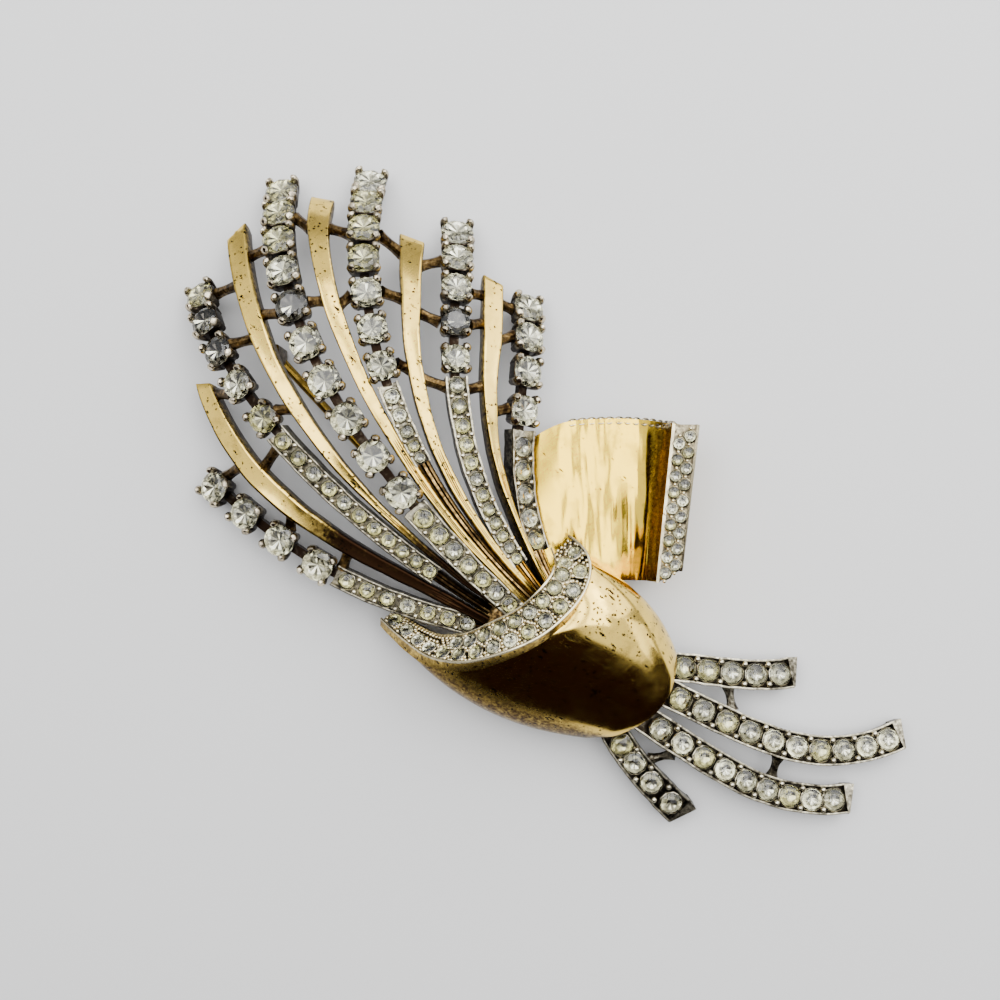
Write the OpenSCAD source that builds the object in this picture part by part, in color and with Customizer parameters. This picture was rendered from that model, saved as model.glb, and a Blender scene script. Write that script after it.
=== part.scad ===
// Flower spray brooch: a domed fan of gilt bands and stone-set rows gathered in a rolled
// sleeve with a set collar, a curled ribbon end, four set stems and a pin on the back.
// It lies on its back: X to the right, Y towards the top of the fan, Z up from the table.
// All sizes are millimetres.

/* [Claw settings] */
// Gap between a stone and the metal that holds it
seat_gap = 0.1; // [0.08:0.01:0.14]
// Depth of a claw cup below its stone's girdle
cup_depth = 1.7; // [1.5:0.1:1.9]
// Width of one claw
claw_w = 0.5; // [0.4:0.05:0.6]
// Thickness of one claw
claw_t = 0.35; // [0.3:0.05:0.4]
// Height of a claw above the girdle
claw_rise = 0.5; // [0.3:0.1:0.6]

/* [Stone channels] */
// Height of a channel bar in the fan
channel_h = 1.9; // [1.7:0.1:2.1]
// Thickness of each rail beside the stones
rail_w = 0.25; // [0.2:0.01:0.3]
// Depth of the groove that the stones sit in
groove_depth = 1.1; // [1.05:0.05:1.15]
// How far the rails stand above the stones' girdles
rail_rise = 0.15; // [0.1:0.05:0.2]

/* [Gilt bands] */
// Thickness of a gilt band
band_h = 1.5; // [1.2:0.1:1.7]
// Bevel along the edges of a gilt band
band_bevel = 0.2; // [0.1:0.05:0.3]

/* [Sleeve and ribbon] */
// Wall thickness of the rolled sleeve
sleeve_wall = 1.2; // [1.0:0.1:1.4]
// Width of the collar set with stones round the sleeve's mouth
collar_w = 4.0; // [3.9:0.05:4.1]
// Thickness of the collar
collar_h = 1.6; // [1.5:0.1:1.8]

/* [Pin] */
// Diameter of the pin stem
pin_d = 1.0; // [0.8:0.1:1.2]
// Height of the pin stem's axis above the table
pin_z = 1.7; // [1.5:0.1:1.9]

/* [Hidden] */
// Moves the drawn brooch so that the middle of its outline is over the origin
to_middle = [-0.925, -0.205, 0];

// Stone rows of the fan, from the left. Points lie on the stones' girdles.
// neck, inner, outer and tip points,
// bank at neck and tip, claw stones, their diameter at the tip and inside, their pitch at both
BANK_NECK = 4;
BANK_TIP = 5;
CLAWS = 6;
CLAW_D = [7, 8];
CLAW_PITCH = [9, 10];
ROWS = [
    [[-5.6, -14.1, 6.5], [-17.2, -10.6, 6.5], [-26.6, -5.6, 6.0], [-35.5, 1.0, 3.0],
     -5, -13, 4, 3.3, 3.3, 5.0, 5.0],
    [[-5.1, -12.3, 7.5], [-19.8, -1.3, 8.8], [-31.2, 10.9, 8.3], [-37.1, 22.2, 2.8],
     -5, -20, 5, 3.2, 3.0, 4.1, 4.7],
    [[-0.2, -14.0, 8.3], [-16.0, 2.5, 10.8], [-25.2, 18.4, 10.9], [-28.1, 33.7, 2.8],
     3, -10, 10, 3.5, 3.3, 3.9, 4.8],
    [[0.5, -11.9, 8.4], [-12.7, 4.7, 10.6], [-17.9, 20.9, 10.5], [-18.3, 34.7, 2.8],
     10, 3, 7, 3.5, 3.0, 3.9, 4.0],
    [[1.2, -11.0, 8.2], [-7.0, 3.5, 9.0], [-8.7, 17.0, 8.5], [-8.7, 29.1, 2.8],
     16, 10, 5, 3.5, 2.9, 3.9, 4.1],
    [[2.2, -9.9, 7.2], [-1.3, 0.7, 6.0], [-1.2, 10.4, 6.0], [-0.8, 20.8, 2.8],
     38, 28, 4, 3.4, 3.2, 3.8, 4.3],
];

// Stones set in the channel of each row: how many, metal before the first,
// pitch at the outer and inner end, diameter at the outer and inner end
SETS = [
    [7, 0.6, 2.4, 2.2, 1.7, 1.6],
    [11, 0.4, 2.4, 1.75, 1.75, 1.4],
    [8, 0.4, 2.4, 1.8, 2.1, 1.5],
    [5, 0.6, 2.1, 1.4, 1.6, 1.1],
    [12, 0.1, 2.2, 1.35, 1.75, 1.15],
    [5, 0.8, 2.6, 2.5, 2.1, 2.0],
];

// Width of the plain strand that runs on from each row's channel to the neck, at its wide end
STRAND_W = [1.4, 1.2, 1.6, 1.5, 1.2, 1.6];
strand_neck_w = 0.9;
// How far a strand runs into its channel, and how much higher its underside lies
strand_overlap = 0.15;
strand_rise = 0.2;

// Gilt bands between the rows. Points lie on the polished face.
// neck, inner, outer and tip points,
// bank at neck and tip, width at each point, how much further the tip's left corner reaches
BAND_W = 6;
BAND_SKEW = 7;
BANDS = [
    [[-5.4, -13.4, 7.0], [-17.6, -6.9, 7.5], [-28.8, 0.8, 7.0], [-36.6, 12.4, 3.6],
     -5, -16, [1.0, 1.6, 2.2, 1.8], 0.4],
    [[-3.5, -12.3, 8.0], [-16.7, -1.3, 9.5], [-27.1, 12.0, 9.6], [-32.9, 29.0, 3.8],
     0, -12, [0.6, 1.0, 1.8, 2.4], -0.9],
    [[0.1, -12.4, 8.4], [-13.6, 3.6, 10.5], [-21.5, 19.9, 10.4], [-23.4, 32.6, 3.8],
     6, 0, [0.6, 1.2, 1.8, 2.8], 0.2],
    [[0.9, -11.4, 8.3], [-9.8, 3.3, 9.9], [-13.2, 16.5, 9.4], [-13.6, 28.3, 3.8],
     15, 8, [0.6, 1.2, 1.8, 2.8], 0.6],
    [[1.7, -10.4, 7.8], [-4.0, 3.3, 7.6], [-4.9, 13.2, 7.3], [-4.7, 23.7, 3.8],
     30, 15, [0.6, 1.0, 1.8, 2.3], 0.6],
];

// Short bars that tie each rib to the next: rib on the left, place on it, place on the next rib.
// Ribs are counted from the left, rows and bands in turn, and places run from 0 at the neck to 1.
TIES = [
    [0, 1.00, 0.77], [0, 0.71, 0.58], [0, 0.48, 0.40],
    [1, 0.72, 0.53], [1, 0.97, 0.69],
    [2, 1.00, 0.90], [2, 0.80, 0.78], [2, 0.59, 0.61],
    [3, 0.95, 0.86], [3, 0.82, 0.70],
    [4, 0.93, 0.90], [4, 0.70, 0.69],
    [5, 0.90, 0.84], [5, 0.67, 0.68],
    [6, 0.84, 0.96], [6, 0.68, 0.80], [6, 0.51, 0.59],
    [7, 0.92, 0.91], [7, 0.76, 0.71], [7, 0.56, 0.53],
    [8, 0.81, 0.96], [8, 0.71, 0.86], [8, 0.52, 0.62],
    [9, 0.94, 1.00], [9, 0.80, 0.90], [9, 0.52, 0.63],
];
// Thickness of the ties, and how deep their ends lie below the ribs' faces
tie_d = 0.8;
tie_depth = 1.0;
// How far a tie's end lies inside a band's edge and a claw cup, and from the middle of a channel
tie_in_band = 0.3;
tie_in_cup = 0.2;
tie_in_channel = 0.8;
// Height of a claw cup's rim, and the radius of its bore as a share of its corners'
cup_rim = -0.45;
cup_bore = 0.74;
// Width, top and bottom of the short bars between the cups, and how far they run into them
link_w = 1;
link_heights = [-0.8, -1.6];
link_in_cup = 0.25;
// Solid metal between the last claw stone and the channel, and beyond the channel's last stone
channel_gap = 0.5;
channel_end = 0.15;

// Stems below the sleeve. Points lie on the stones' girdles.
// root, inner, outer and tip points,
// bank at root and tip, stones, metal beyond the last, their pitch at tip and root, width at both
STEM_SETS = 6;
STEM_END = 7;
STEM_PITCH = [8, 9];
STEM_W = [10, 11];
STEMS = [
    [[11.0, -18.3, 5.0], [17.3, -18.8, 4.4], [23.0, -19.5, 3.6], [28.4, -19.4, 2.4],
     -8, -8, 5, 1.6, 2.8, 2.7, 3.1, 3.4],
    [[10.3, -19.6, 5.2], [20.2, -24.3, 4.6], [29.9, -27.7, 3.6], [40.3, -26.3, 2.2],
     -8, -8, 10, 1.5, 2.6, 2.9, 3.1, 3.3],
    [[8.0, -21.8, 5.0], [17.2, -27.8, 4.4], [25.6, -32.3, 3.2], [34.6, -33.4, 2.2],
     -8, -8, 9, 1.7, 2.5, 2.9, 3.1, 3.3],
    [[7.0, -22.6, 4.6], [9.3, -27.2, 4.0], [12.4, -31.2, 3.4], [16.0, -35.0, 2.4],
     6, 6, 4, 1.7, 3.3, 2.5, 2.9, 3.4],
];
// Bars that tie each stem to the next: stem above, place on it, place on the next
STEM_TIES = [[0, 0.57, 0.36], [1, 0.57, 0.67], [2, 0.28, 0.56]];
stem_tie_d = 1.0;
stem_h = 1.8;
stem_stone_d = 2.25;
// Solid end of each stem, how much narrower its tip is, and how far its two corners reach on
stem_cap = 0.3;
stem_taper = 0.3;
stem_skew = [0.8, -0.15];

// Lines of the sleeve from its lower left edge to its upper right edge.
// points at the mouth, in the middle and at the lower end
SLEEVE = [
    [[-16.8, -13.8, 1.0], [-6.8, -22.7, 0.0], [2.8, -25.4, 2.0]],
    [[-14.7, -16.2, 4.0], [-5.2, -22.6, 5.5], [5.6, -26.1, 4.8]],
    [[-9.8, -17.8, 7.6], [-0.9, -20.3, 10.8], [8.8, -25.3, 7.4]],
    [[-4.2, -16.8, 11.0], [3.5, -17.2, 13.4], [12.1, -23.2, 9.1]],
    [[0.9, -13.8, 12.8], [7.2, -13.9, 13.2], [13.9, -20.6, 9.3]],
    [[4.2, -9.8, 12.0], [9.9, -11.6, 10.2], [14.7, -18.4, 8.0]],
    [[4.7, -6.0, 7.0], [11.8, -11.2, 5.0], [15.0, -16.4, 5.6]],
];

// Middle of the collar's face from its left tail to its right tail.
// x, y, z, share of the full width, tilt of the face towards the mouth
COLLAR_SHARE = 3;
COLLAR_TILT = 4;
COLLAR = [
    [-16.3, -12.8, 3.4, 0.55, 25],
    [-14.8, -13.9, 4.6, 0.60, 30],
    [-12.6, -15.2, 6.4, 0.72, 38],
    [-10.4, -15.9, 8.4, 0.86, 45],
    [-7.4, -15.7, 10.6, 0.96, 42],
    [-4.0, -14.4, 12.3, 1.00, 34],
    [-0.9, -12.8, 13.3, 1.00, 24],
    [1.4, -10.8, 13.8, 1.00, 14],
    [3.0, -8.7, 13.2, 1.00, 8],
    [3.4, -6.7, 11.8, 0.95, 6],
    [2.3, -4.8, 9.6, 0.62, 8],
];
// Stones of the collar: how many in the outer and the inner column, the first one's length
// along the collar in each, their pitch and diameter
collar_counts = [15, 9];
collar_first = [1.3, 10.3];
collar_pitch = 1.98;
collar_stone_d = 1.55;
// Depth of the collar's groove, the solid part at its ends, and the stones' gap to the rails
collar_groove = 0.9;
collar_end = 0.12;
collar_seat = 0.12;

// Section of the curled ribbon, from its hidden left edge round to the left again:
// x and z at the lower edge, x, z and y at the upper edge
RIBBON = [
    [0.6, 2.8, -0.9, 2.8, 6.2],
    [5.0, 2.9, 3.0, 3.3, 8.1],
    [9.4, 3.0, 8.0, 3.8, 8.5],
    [11.6, 3.8, 11.6, 4.8, 8.3],
    [12.4, 5.4, 13.6, 6.4, 7.9],
    [12.6, 7.8, 14.2, 8.9, 7.7],
    [12.9, 7.8, 14.5, 8.9, 7.6],
    [12.9, 7.2, 14.5, 8.3, 7.6],
    [15.0, 7.2, 16.8, 8.3, 7.4],
    [15.0, 7.8, 16.8, 8.9, 7.4],
    [15.3, 7.6, 17.1, 8.7, 7.3],
    [15.2, 5.2, 16.9, 5.8, 7.3],
    [13.8, 2.4, 15.4, 3.2, 7.5],
    [11.4, 1.7, 11.8, 2.4, 8.0],
    [5.0, 1.2, 3.0, 1.6, 7.8],
    [0.6, 1.0, -0.9, 1.2, 6.2],
];
// Convex faces that close the two ends of that section
RIBBON_END = [
    [0, 1, 14, 15], [1, 2, 13, 14], [2, 3, 12, 13], [3, 4, 11, 12],
    [4, 5, 6, 7], [4, 7, 8, 11], [8, 9, 10, 11],
];
ribbon_low_y = -9.2;
// Stones in each of the two columns of the ribbon's right end face
strip_stones = 9;
strip_stone_d = 1.05;

// The pin's ends in plan, and the widths and tops of the blocks that hold them
hinge_at = [-4.4, -10.6];
catch_at = [-28.6, 15.4];
hinge_w = 2.4;
catch_w = 1.8;
hinge_top = 4.05;
catch_top = 6.8;
block_low = 0.8;

// Lumps of solder, each a low corner and a size: the neck's left and right ends, the seats
// of the sleeve and the ribbon, and the roots of the stems
NECK_LEFT = [[-9.0, -14.4, 4.2], [1.6, 1.6, 1.2]];
NECK_RIGHT = [[-0.5, -14.8, 4.6], [2.9, 5.0, 2.4]];
SLEEVE_SEAT = [[1.0, -17.0, 4.6], [5.2, 3.4, 6.8]];
RIBBON_SEAT = [[0.2, -10.6, 3.1], [2.2, 2.6, 2.2]];
STEM_ROOTS = [
    [[7.0, -21.6, 3.0], [2.6, 2.6, 3.4]],
    [[10.6, -18.8, 3.4], [1.6, 1.6, 2.4]],
    [[6.6, -23.0, 3.2], [1.6, 1.6, 2.4]],
];

// Shape of a cut stone: its table, crown and pavilion as shares of its diameter, and its sides
table_share = 0.56;
crown_share = 0.17;
pavilion_share = 0.42;
stone_sides = 8;

// Slant of the sides of the bars below their faces
side_slant = 0.15;

function unit(v) = v / norm(v);

// Smooth curve through four points, at t = 0, 1/3, 2/3 and 1
function through(p, t) =
    -4.5 * (t - 1/3) * (t - 2/3) * (t - 1) * p[0]
    + 13.5 * t * (t - 2/3) * (t - 1) * p[1]
    - 13.5 * t * (t - 1/3) * (t - 1) * p[2]
    + 4.5 * t * (t - 1/3) * (t - 2/3) * p[3];
function heading(p, t) = unit(through(p, t + 0.01) - through(p, t - 0.01));

// A frame is side, forward, up and place. Bank turns it about forward, right side down.
function frame_of(forward, place, bank) =
    let (flat_side = unit(cross(forward, [0, 0, 1])), flat_up = cross(flat_side, forward))
    [
        flat_side * cos(bank) - flat_up * sin(bank),
        forward,
        flat_up * cos(bank) + flat_side * sin(bank),
        place,
    ];
function rib_frame(rib, t) =
    frame_of(heading(rib, t), through(rib, t), rib[BANK_NECK] * (1 - t) + rib[BANK_TIP] * t);
function on(frame, x, y, z) = frame[3] + frame[0] * x + frame[1] * y + frame[2] * z;

module at_frame(frame) {
    multmatrix([for (k = [0:2]) [frame[0][k], frame[1][k], frame[2][k], frame[3][k]]]) children();
}

// Pairs of length from the neck and place on the curve
steps = 30;
function lengths(p) = [
    for (i = 0, s = 0; i <= steps; i = i + 1,
         s = s + norm(through(p, i / steps) - through(p, (i - 1) / steps))) [s, i / steps]
];
function whole(p) = lengths(p)[steps][0];
function place_at(p, s) = lookup(s, lengths(p));

// Closed body through rings of points. The ends are closed with convex faces, given as points' numbers.
module skin(rings, ends) {
    n = len(rings[0]);
    last = len(rings) - 1;
    polyhedron(
        points = [for (r = rings) each r],
        faces = [
            for (i = [0:last - 1], j = [0:n - 1])
                let (k = (j + 1) % n, a = i * n + j, b = i * n + k, c = b + n, d = a + n)
                each [[a, c, b], [a, d, c]],
            for (e = ends) e,
            for (e = ends) [for (k = [len(e) - 1:-1:0]) last * n + e[k]],
        ]
    );
}

// Ends of a plain four-sided bar, of a bevelled band and of a grooved bar
BAR_END = [[0, 1, 2, 3]];
BAND_END = [[0, 1, 2, 3, 4, 5]];
GROOVE_END = [[0, 1, 2, 7], [2, 3, 6, 7], [3, 4, 5, 6]];

// Closed body between two grids of points over the same rows and columns
module plate(top, bottom) {
    rows = len(top);
    cols = len(top[0]);
    all = rows * cols;
    edge = concat(
        [for (j = [0:cols - 2]) j],
        [for (i = [0:rows - 2]) i * cols + cols - 1],
        [for (j = [cols - 1:-1:1]) (rows - 1) * cols + j],
        [for (i = [rows - 1:-1:1]) i * cols]
    );
    polyhedron(
        points = concat([for (r = top) each r], [for (r = bottom) each r]),
        faces = [
            for (i = [0:rows - 2], j = [0:cols - 2])
                let (a = i * cols + j, b = a + 1, c = a + cols + 1, d = a + cols)
                each [[a, b, c], [a, c, d], [a + all, c + all, b + all], [a + all, d + all, c + all]],
            for (k = [0:len(edge) - 1])
                let (a = edge[k], b = edge[(k + 1) % len(edge)])
                each [[a, b + all, b], [a, a + all, b + all]],
        ]
    );
}

// A round cut stone with its girdle on the plane z = 0
module stone(d) {
    turn = 360 / stone_sides;
    ring = [for (i = [0:stone_sides - 1]) [cos(i * turn), sin(i * turn), 0] * d / 2];
    table = [
        for (i = [0:stone_sides - 1])
            let (half = (i + 0.5) * turn)
            [cos(half) * table_share, sin(half) * table_share, 2 * crown_share] * d / 2
    ];
    polyhedron(
        points = concat(ring, table, [[0, 0, -pavilion_share * d]]),
        faces = [
            [for (i = [stone_sides - 1:-1:0]) stone_sides + i],
            for (i = [0:stone_sides - 1])
                let (j = (i + 1) % stone_sides)
                each [
                    [i, stone_sides + i, j],
                    [j, stone_sides + i, stone_sides + j],
                    [j, 2 * stone_sides, i],
                ],
        ]
    );
}

// Open cup with four claws that holds a stone whose girdle is on the plane z = 0.
// Its corners lie across the diagonals of the stone and carry the claws.
module claw_cup(d) {
    corner = d / 2 + seat_gap + claw_t;
    // Two points of a corner at a distance r from the axis
    function pair(turn, r, z, half) = [
        for (side = [1, -1])
            [r * cos(turn) - side * half * sin(turn), r * sin(turn) + side * half * cos(turn), z]
    ];
    function ring(r, z, half) = [for (turn = [315:-90:45]) each pair(turn, r, z, half)];
    claw_in = d / 2 + seat_gap;
    points = concat(
        ring(corner, -cup_depth, claw_w / 2),
        ring(cup_bore * corner, -cup_depth, cup_bore * claw_w / 2),
        ring(cup_bore * corner, cup_rim, cup_bore * claw_w / 2),
        ring(claw_in, cup_rim, claw_w / 2 * claw_in / corner),
        ring(claw_in, claw_rise, claw_w / 2 * claw_in / corner),
        ring(corner, claw_rise, claw_w / 2),
        ring(corner, cup_rim, claw_w / 2)
    );
    function at(level, j) = level * 8 + j % 8;
    polyhedron(
        points = points,
        faces = [
            for (j = [0:7]) each [
                [at(0, j), at(1, j), at(1, j + 1), at(0, j + 1)],
                [at(1, j), at(2, j), at(2, j + 1), at(1, j + 1)],
            ],
            for (j = [0:2:6]) each [
                [at(0, j), at(0, j + 1), at(6, j + 1), at(6, j)],
                [at(6, j), at(6, j + 1), at(5, j + 1), at(5, j)],
                [at(2, j), at(3, j), at(3, j + 1), at(2, j + 1)],
                [at(3, j), at(4, j), at(4, j + 1), at(3, j + 1)],
                [at(4, j), at(5, j), at(5, j + 1), at(4, j + 1)],
                [at(3, j), at(6, j), at(5, j), at(4, j)],
                [at(3, j + 1), at(4, j + 1), at(5, j + 1), at(6, j + 1)],
            ],
            for (j = [1:2:7]) each [
                [at(0, j), at(0, j + 1), at(6, j + 1), at(6, j)],
                [at(2, j), at(3, j), at(3, j + 1), at(2, j + 1)],
                [at(3, j), at(6, j), at(6, j + 1), at(3, j + 1)],
            ],
        ]
    );
}

// Plain bar along a rib between two lengths, with its width at each end, its top and its bottom.
// Skew is how far the left and right corners reach beyond its far end.
module bar(rib, s0, s1, w0, w1, heights, pieces, skew = [0, 0]) {
    skin([
        for (i = [0:pieces])
            let (k = i / pieces, w = (w0 + (w1 - w0) * k) / 2,
                 frame = rib_frame(rib, place_at(rib, s0 + (s1 - s0) * k)),
                 a = i == pieces ? skew[0] : 0, b = i == pieces ? skew[1] : 0)
            [
                on(frame, -w, a, heights[0]), on(frame, w, b, heights[0]),
                on(frame, w, b, heights[1]), on(frame, -w, a, heights[1]),
            ]
    ], BAR_END);
}

// Grooved bar along a rib from place t0 to t1, with its width at each end
module channel(rib, t0, t1, w0, w1, height, pieces) {
    skin([
        for (i = [0:pieces])
            let (t = t0 + (t1 - t0) * i / pieces, w = w0 + (w1 - w0) * i / pieces,
                 frame = rib_frame(rib, t), g = w / 2 - rail_w)
            [
                for (q = [
                    [-w / 2, rail_rise], [-g, rail_rise], [-g, -groove_depth], [g, -groove_depth],
                    [g, rail_rise], [w / 2, rail_rise],
                    [w / 2 - side_slant, -height], [-w / 2 + side_slant, -height],
                ]) on(frame, q.x, 0, q.y)
            ]
    ], GROOVE_END);
}

// Value j of n that run evenly from a to b
function share(a, b, j, n) = a + (b - a) * j / (n - 1);

// Lengths along a row from its neck, and the sizes of its stones
function claw_d(row, i) = share(row[CLAW_D[0]], row[CLAW_D[1]], i, row[CLAWS]);
function claw_pitch(row, i) = share(row[CLAW_PITCH[0]], row[CLAW_PITCH[1]], i, row[CLAWS] - 1);
function claw_s(row, i) =
    whole(row) - (i == 0 ? 0 : i * (claw_pitch(row, 0) + claw_pitch(row, i - 1)) / 2);
function channel_s(row) =
    let (last = row[CLAWS] - 1)
    claw_s(row, last) - claw_d(row, last) / 2 - channel_gap;
function set_pitch(r, j) = share(SETS[r][2], SETS[r][3], j, SETS[r][0] - 1);
function set_d(r, j) = share(SETS[r][4], SETS[r][5], j, SETS[r][0]);
function set_s(r, j) =
    channel_s(ROWS[r]) - SETS[r][1] - set_d(r, 0) / 2
    - (j == 0 ? 0 : j * (set_pitch(r, 0) + set_pitch(r, j - 1)) / 2);
function set_end(r) = max(0, set_s(r, SETS[r][0] - 1) - SETS[r][5] / 2 - channel_end);
function channel_w(d) = d + 2 * (seat_gap + rail_w);

module row_metal(r) {
    row = ROWS[r];
    last = row[CLAWS] - 1;
    for (i = [0:last])
        at_frame(rib_frame(row, place_at(row, claw_s(row, i)))) claw_cup(claw_d(row, i));
    // Short bars from each cup to the next, the last one to the channel
    for (i = [0:last]) {
        inner = i == last ? channel_s(row) : claw_s(row, i + 1) + claw_d(row, i + 1) / 2;
        outer = claw_s(row, i) - claw_d(row, i) / 2;
        bar(row, inner - link_in_cup, outer + link_in_cup, link_w, link_w, link_heights, 1);
    }
    channel(
        row, place_at(row, set_end(r)), place_at(row, channel_s(row)),
        channel_w(set_d(r, SETS[r][0] - 1)), channel_w(set_d(r, 0)), channel_h, 5
    );
    bar(
        row, 0, set_end(r) + strand_overlap,
        strand_neck_w, STRAND_W[r], [0, strand_rise - channel_h], 4
    );
}

module band(b) {
    pieces = 8;
    skin([
        for (i = [0:pieces])
            let (t = i / pieces, frame = rib_frame(b, t), w = through(b[BAND_W], t) / 2,
                 skew = i == pieces ? b[BAND_SKEW] : 0)
            [
                for (q = [
                    [-w, -band_bevel, skew], [-w + band_bevel, 0, skew], [w - band_bevel, 0, -skew],
                    [w, -band_bevel, -skew],
                    [w - side_slant, -band_h, -skew], [-w + side_slant, -band_h, skew],
                ]) on(frame, q.x, q.z, q.y)
            ]
    ], BAND_END);
}

// Rows and bands in turn, and a point inside the metal at their left (-1) or right (1) side
function rib(i) = i % 2 == 0 ? ROWS[i / 2] : BANDS[(i - 1) / 2];
function tie_reach(i, t) =
    i % 2 == 1 ? through(BANDS[(i - 1) / 2][BAND_W], t) / 2 - tie_in_band
    : t > place_at(rib(i), channel_s(rib(i))) ? claw_d(rib(i), 0) / 2 - tie_in_cup
    : tie_in_channel;
function tie_end(i, t, side) = on(rib_frame(rib(i), t), side * tie_reach(i, t), 0, -tie_depth);

// Bar from point a to point b
module tie_bar(a, b, d) {
    hull() for (end = [a, b]) translate(end) cylinder(d = d, h = d, center = true, $fn = 4);
}

// Round wire from point a to point b
module wire(a, b, d) {
    along = b - a;
    translate(a)
        rotate([0, acos(along.z / norm(along)), atan2(along.y, along.x)])
            cylinder(d = d, h = norm(along), $fn = 24);
}

// Solder that gathers the ribs at the neck and carries the sleeve and the ribbon
module lump(l) {
    translate(l[0]) cube(l[1]);
}
module neck_core() {
    hull() {
        lump(NECK_LEFT);
        lump(NECK_RIGHT);
    }
    lump(SLEEVE_SEAT);
    lump(RIBBON_SEAT);
}

module spray_frame() {
    color("goldenrod") translate(to_middle) {
        for (r = [0:len(ROWS) - 1]) row_metal(r);
        for (b = BANDS) band(b);
        for (tie = TIES) tie_bar(tie_end(tie[0], tie[1], 1), tie_end(tie[0] + 1, tie[2], -1), tie_d);
        neck_core();
    }
}

module claw_stone(r, i) {
    row = ROWS[r];
    color("white") translate(to_middle)
        at_frame(rib_frame(row, place_at(row, claw_s(row, i)))) stone(claw_d(row, i));
}

module channel_stones(r) {
    row = ROWS[r];
    color("whitesmoke") translate(to_middle)
        for (j = [0:SETS[r][0] - 1])
            at_frame(rib_frame(row, place_at(row, set_s(r, j)))) stone(set_d(r, j));
}

// Curve through three points, at t = 0, 1/2 and 1
function quad(p, t) = p[0] * 2 * (t - 0.5) * (t - 1) - p[1] * 4 * t * (t - 1) + p[2] * 2 * t * (t - 0.5);
// Curve through a list of points, the first at x = 0, the next at 1 and so on
function pick(list, i) = list[max(0, min(len(list) - 1, i))];
function spline(a, b, c, d, t) =
    let (t1 = (c - a) / 2, t2 = (2 * a - 5 * b + 4 * c - d) / 2, t3 = (3 * b - a - 3 * c + d) / 2)
    b + t1 * t + t2 * t * t + t3 * t * t * t;
function smooth(list, x) =
    let (i = min(floor(x), len(list) - 2))
    spline(pick(list, i - 1), pick(list, i), pick(list, i + 1), pick(list, i + 2), x - i);

// Point of the sleeve's outer face, u from the mouth to the end, v from its left edge to its right
function sleeve_at(u, v) = smooth([for (line = SLEEVE) quad(line, u)], v * (len(SLEEVE) - 1));
function sleeve_out(u, v) =
    let (e = 0.02)
    unit(cross(
        sleeve_at(min(1, u + e), v) - sleeve_at(max(0, u - e), v),
        sleeve_at(u, min(1, v + e)) - sleeve_at(u, max(0, v - e))
    ));

sleeve_rows = 6;
sleeve_cols = 14;
function sleeve_grid(depth) = [
    for (i = [0:sleeve_rows])
        [
            for (j = [0:sleeve_cols])
                let (u = i / sleeve_rows, v = j / sleeve_cols,
                     p = sleeve_at(u, v) - depth * sleeve_out(u, v))
                [p.x, p.y, max(0, p.z)]
        ]
];

// Places along the collar run from 0 to the last row of its table
collar_last = len(COLLAR) - 1;
function collar_at(x) = smooth(COLLAR, x);
function collar_point(x) = let (c = collar_at(x)) [c.x, c.y, c.z];
function collar_frame(x) =
    let (e = 0.05)
    frame_of(
        unit(collar_point(min(collar_last, x + e)) - collar_point(max(0, x - e))),
        collar_point(x),
        -collar_at(x)[COLLAR_TILT]
    );

// Pairs of length along the collar and place on it
collar_step = collar_last / 60;
collar_lengths = [
    for (x = 0, s = 0; x <= collar_last + collar_step / 2; x = x + collar_step,
         s = s + norm(collar_point(x) - collar_point(x - collar_step))) [s, x]
];

module collar() {
    pieces = 16;
    // Each ring's place and the depth of its groove, which is closed at both ends
    start = collar_end + 0.02;
    rings = concat(
        [[0, -rail_rise], [collar_end, -rail_rise]],
        [for (i = [0:pieces]) [start + (collar_last - 2 * start) * i / pieces, collar_groove]],
        [[collar_last - collar_end, -rail_rise], [collar_last, -rail_rise]]
    );
    skin([
        for (r = rings)
            let (frame = collar_frame(r[0]),
                 w = collar_w * collar_at(r[0])[COLLAR_SHARE] / 2, g = w - rail_w)
            [
                for (q = [
                    [-w, rail_rise], [-g, rail_rise], [-g, -r[1]], [g, -r[1]],
                    [g, rail_rise], [w, rail_rise], [w, -collar_h], [-w, -collar_h],
                ]) on(frame, q.x, 0, q.y)
            ]
    ], GROOVE_END);
}

module knot_sleeve() {
    color("gold") translate(to_middle) {
        plate(sleeve_grid(0), sleeve_grid(sleeve_wall));
        collar();
    }
}

// How far each column of stones lies from the middle of the collar
function collar_side(x) =
    max(0, collar_w * collar_at(x)[COLLAR_SHARE] / 2 - rail_w - collar_seat - collar_stone_d / 2);

module collar_stones() {
    color("whitesmoke") translate(to_middle)
        for (column = [0, 1], i = [0:collar_counts[column] - 1])
            let (x = lookup(collar_first[column] + i * collar_pitch, collar_lengths))
            at_frame(collar_frame(x))
                translate([(column == 0 ? 1 : -1) * collar_side(x), 0, 0]) stone(collar_stone_d);
}

// Section of the ribbon at v, from 0 at the lower edge to 1 at the upper edge
function ribbon_ring(v) = [
    for (p = RIBBON)
        [p[0] * (1 - v) + p[2] * v, ribbon_low_y * (1 - v) + p[4] * v, p[1] * (1 - v) + p[3] * v]
];

module ribbon_tail() {
    pieces = 5;
    color("gold") translate(to_middle)
        skin([for (i = [0:pieces]) ribbon_ring(i / pieces)], RIBBON_END);
}

// Point of the floor of the ribbon's grooved end face, from its left side (0) to its right (1)
STRIP_LEFT = 6;
STRIP_RIGHT = 9;
function strip_at(v, side) =
    let (ring = ribbon_ring(v))
    ring[STRIP_LEFT] + (ring[STRIP_RIGHT] - ring[STRIP_LEFT]) * side;

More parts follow.
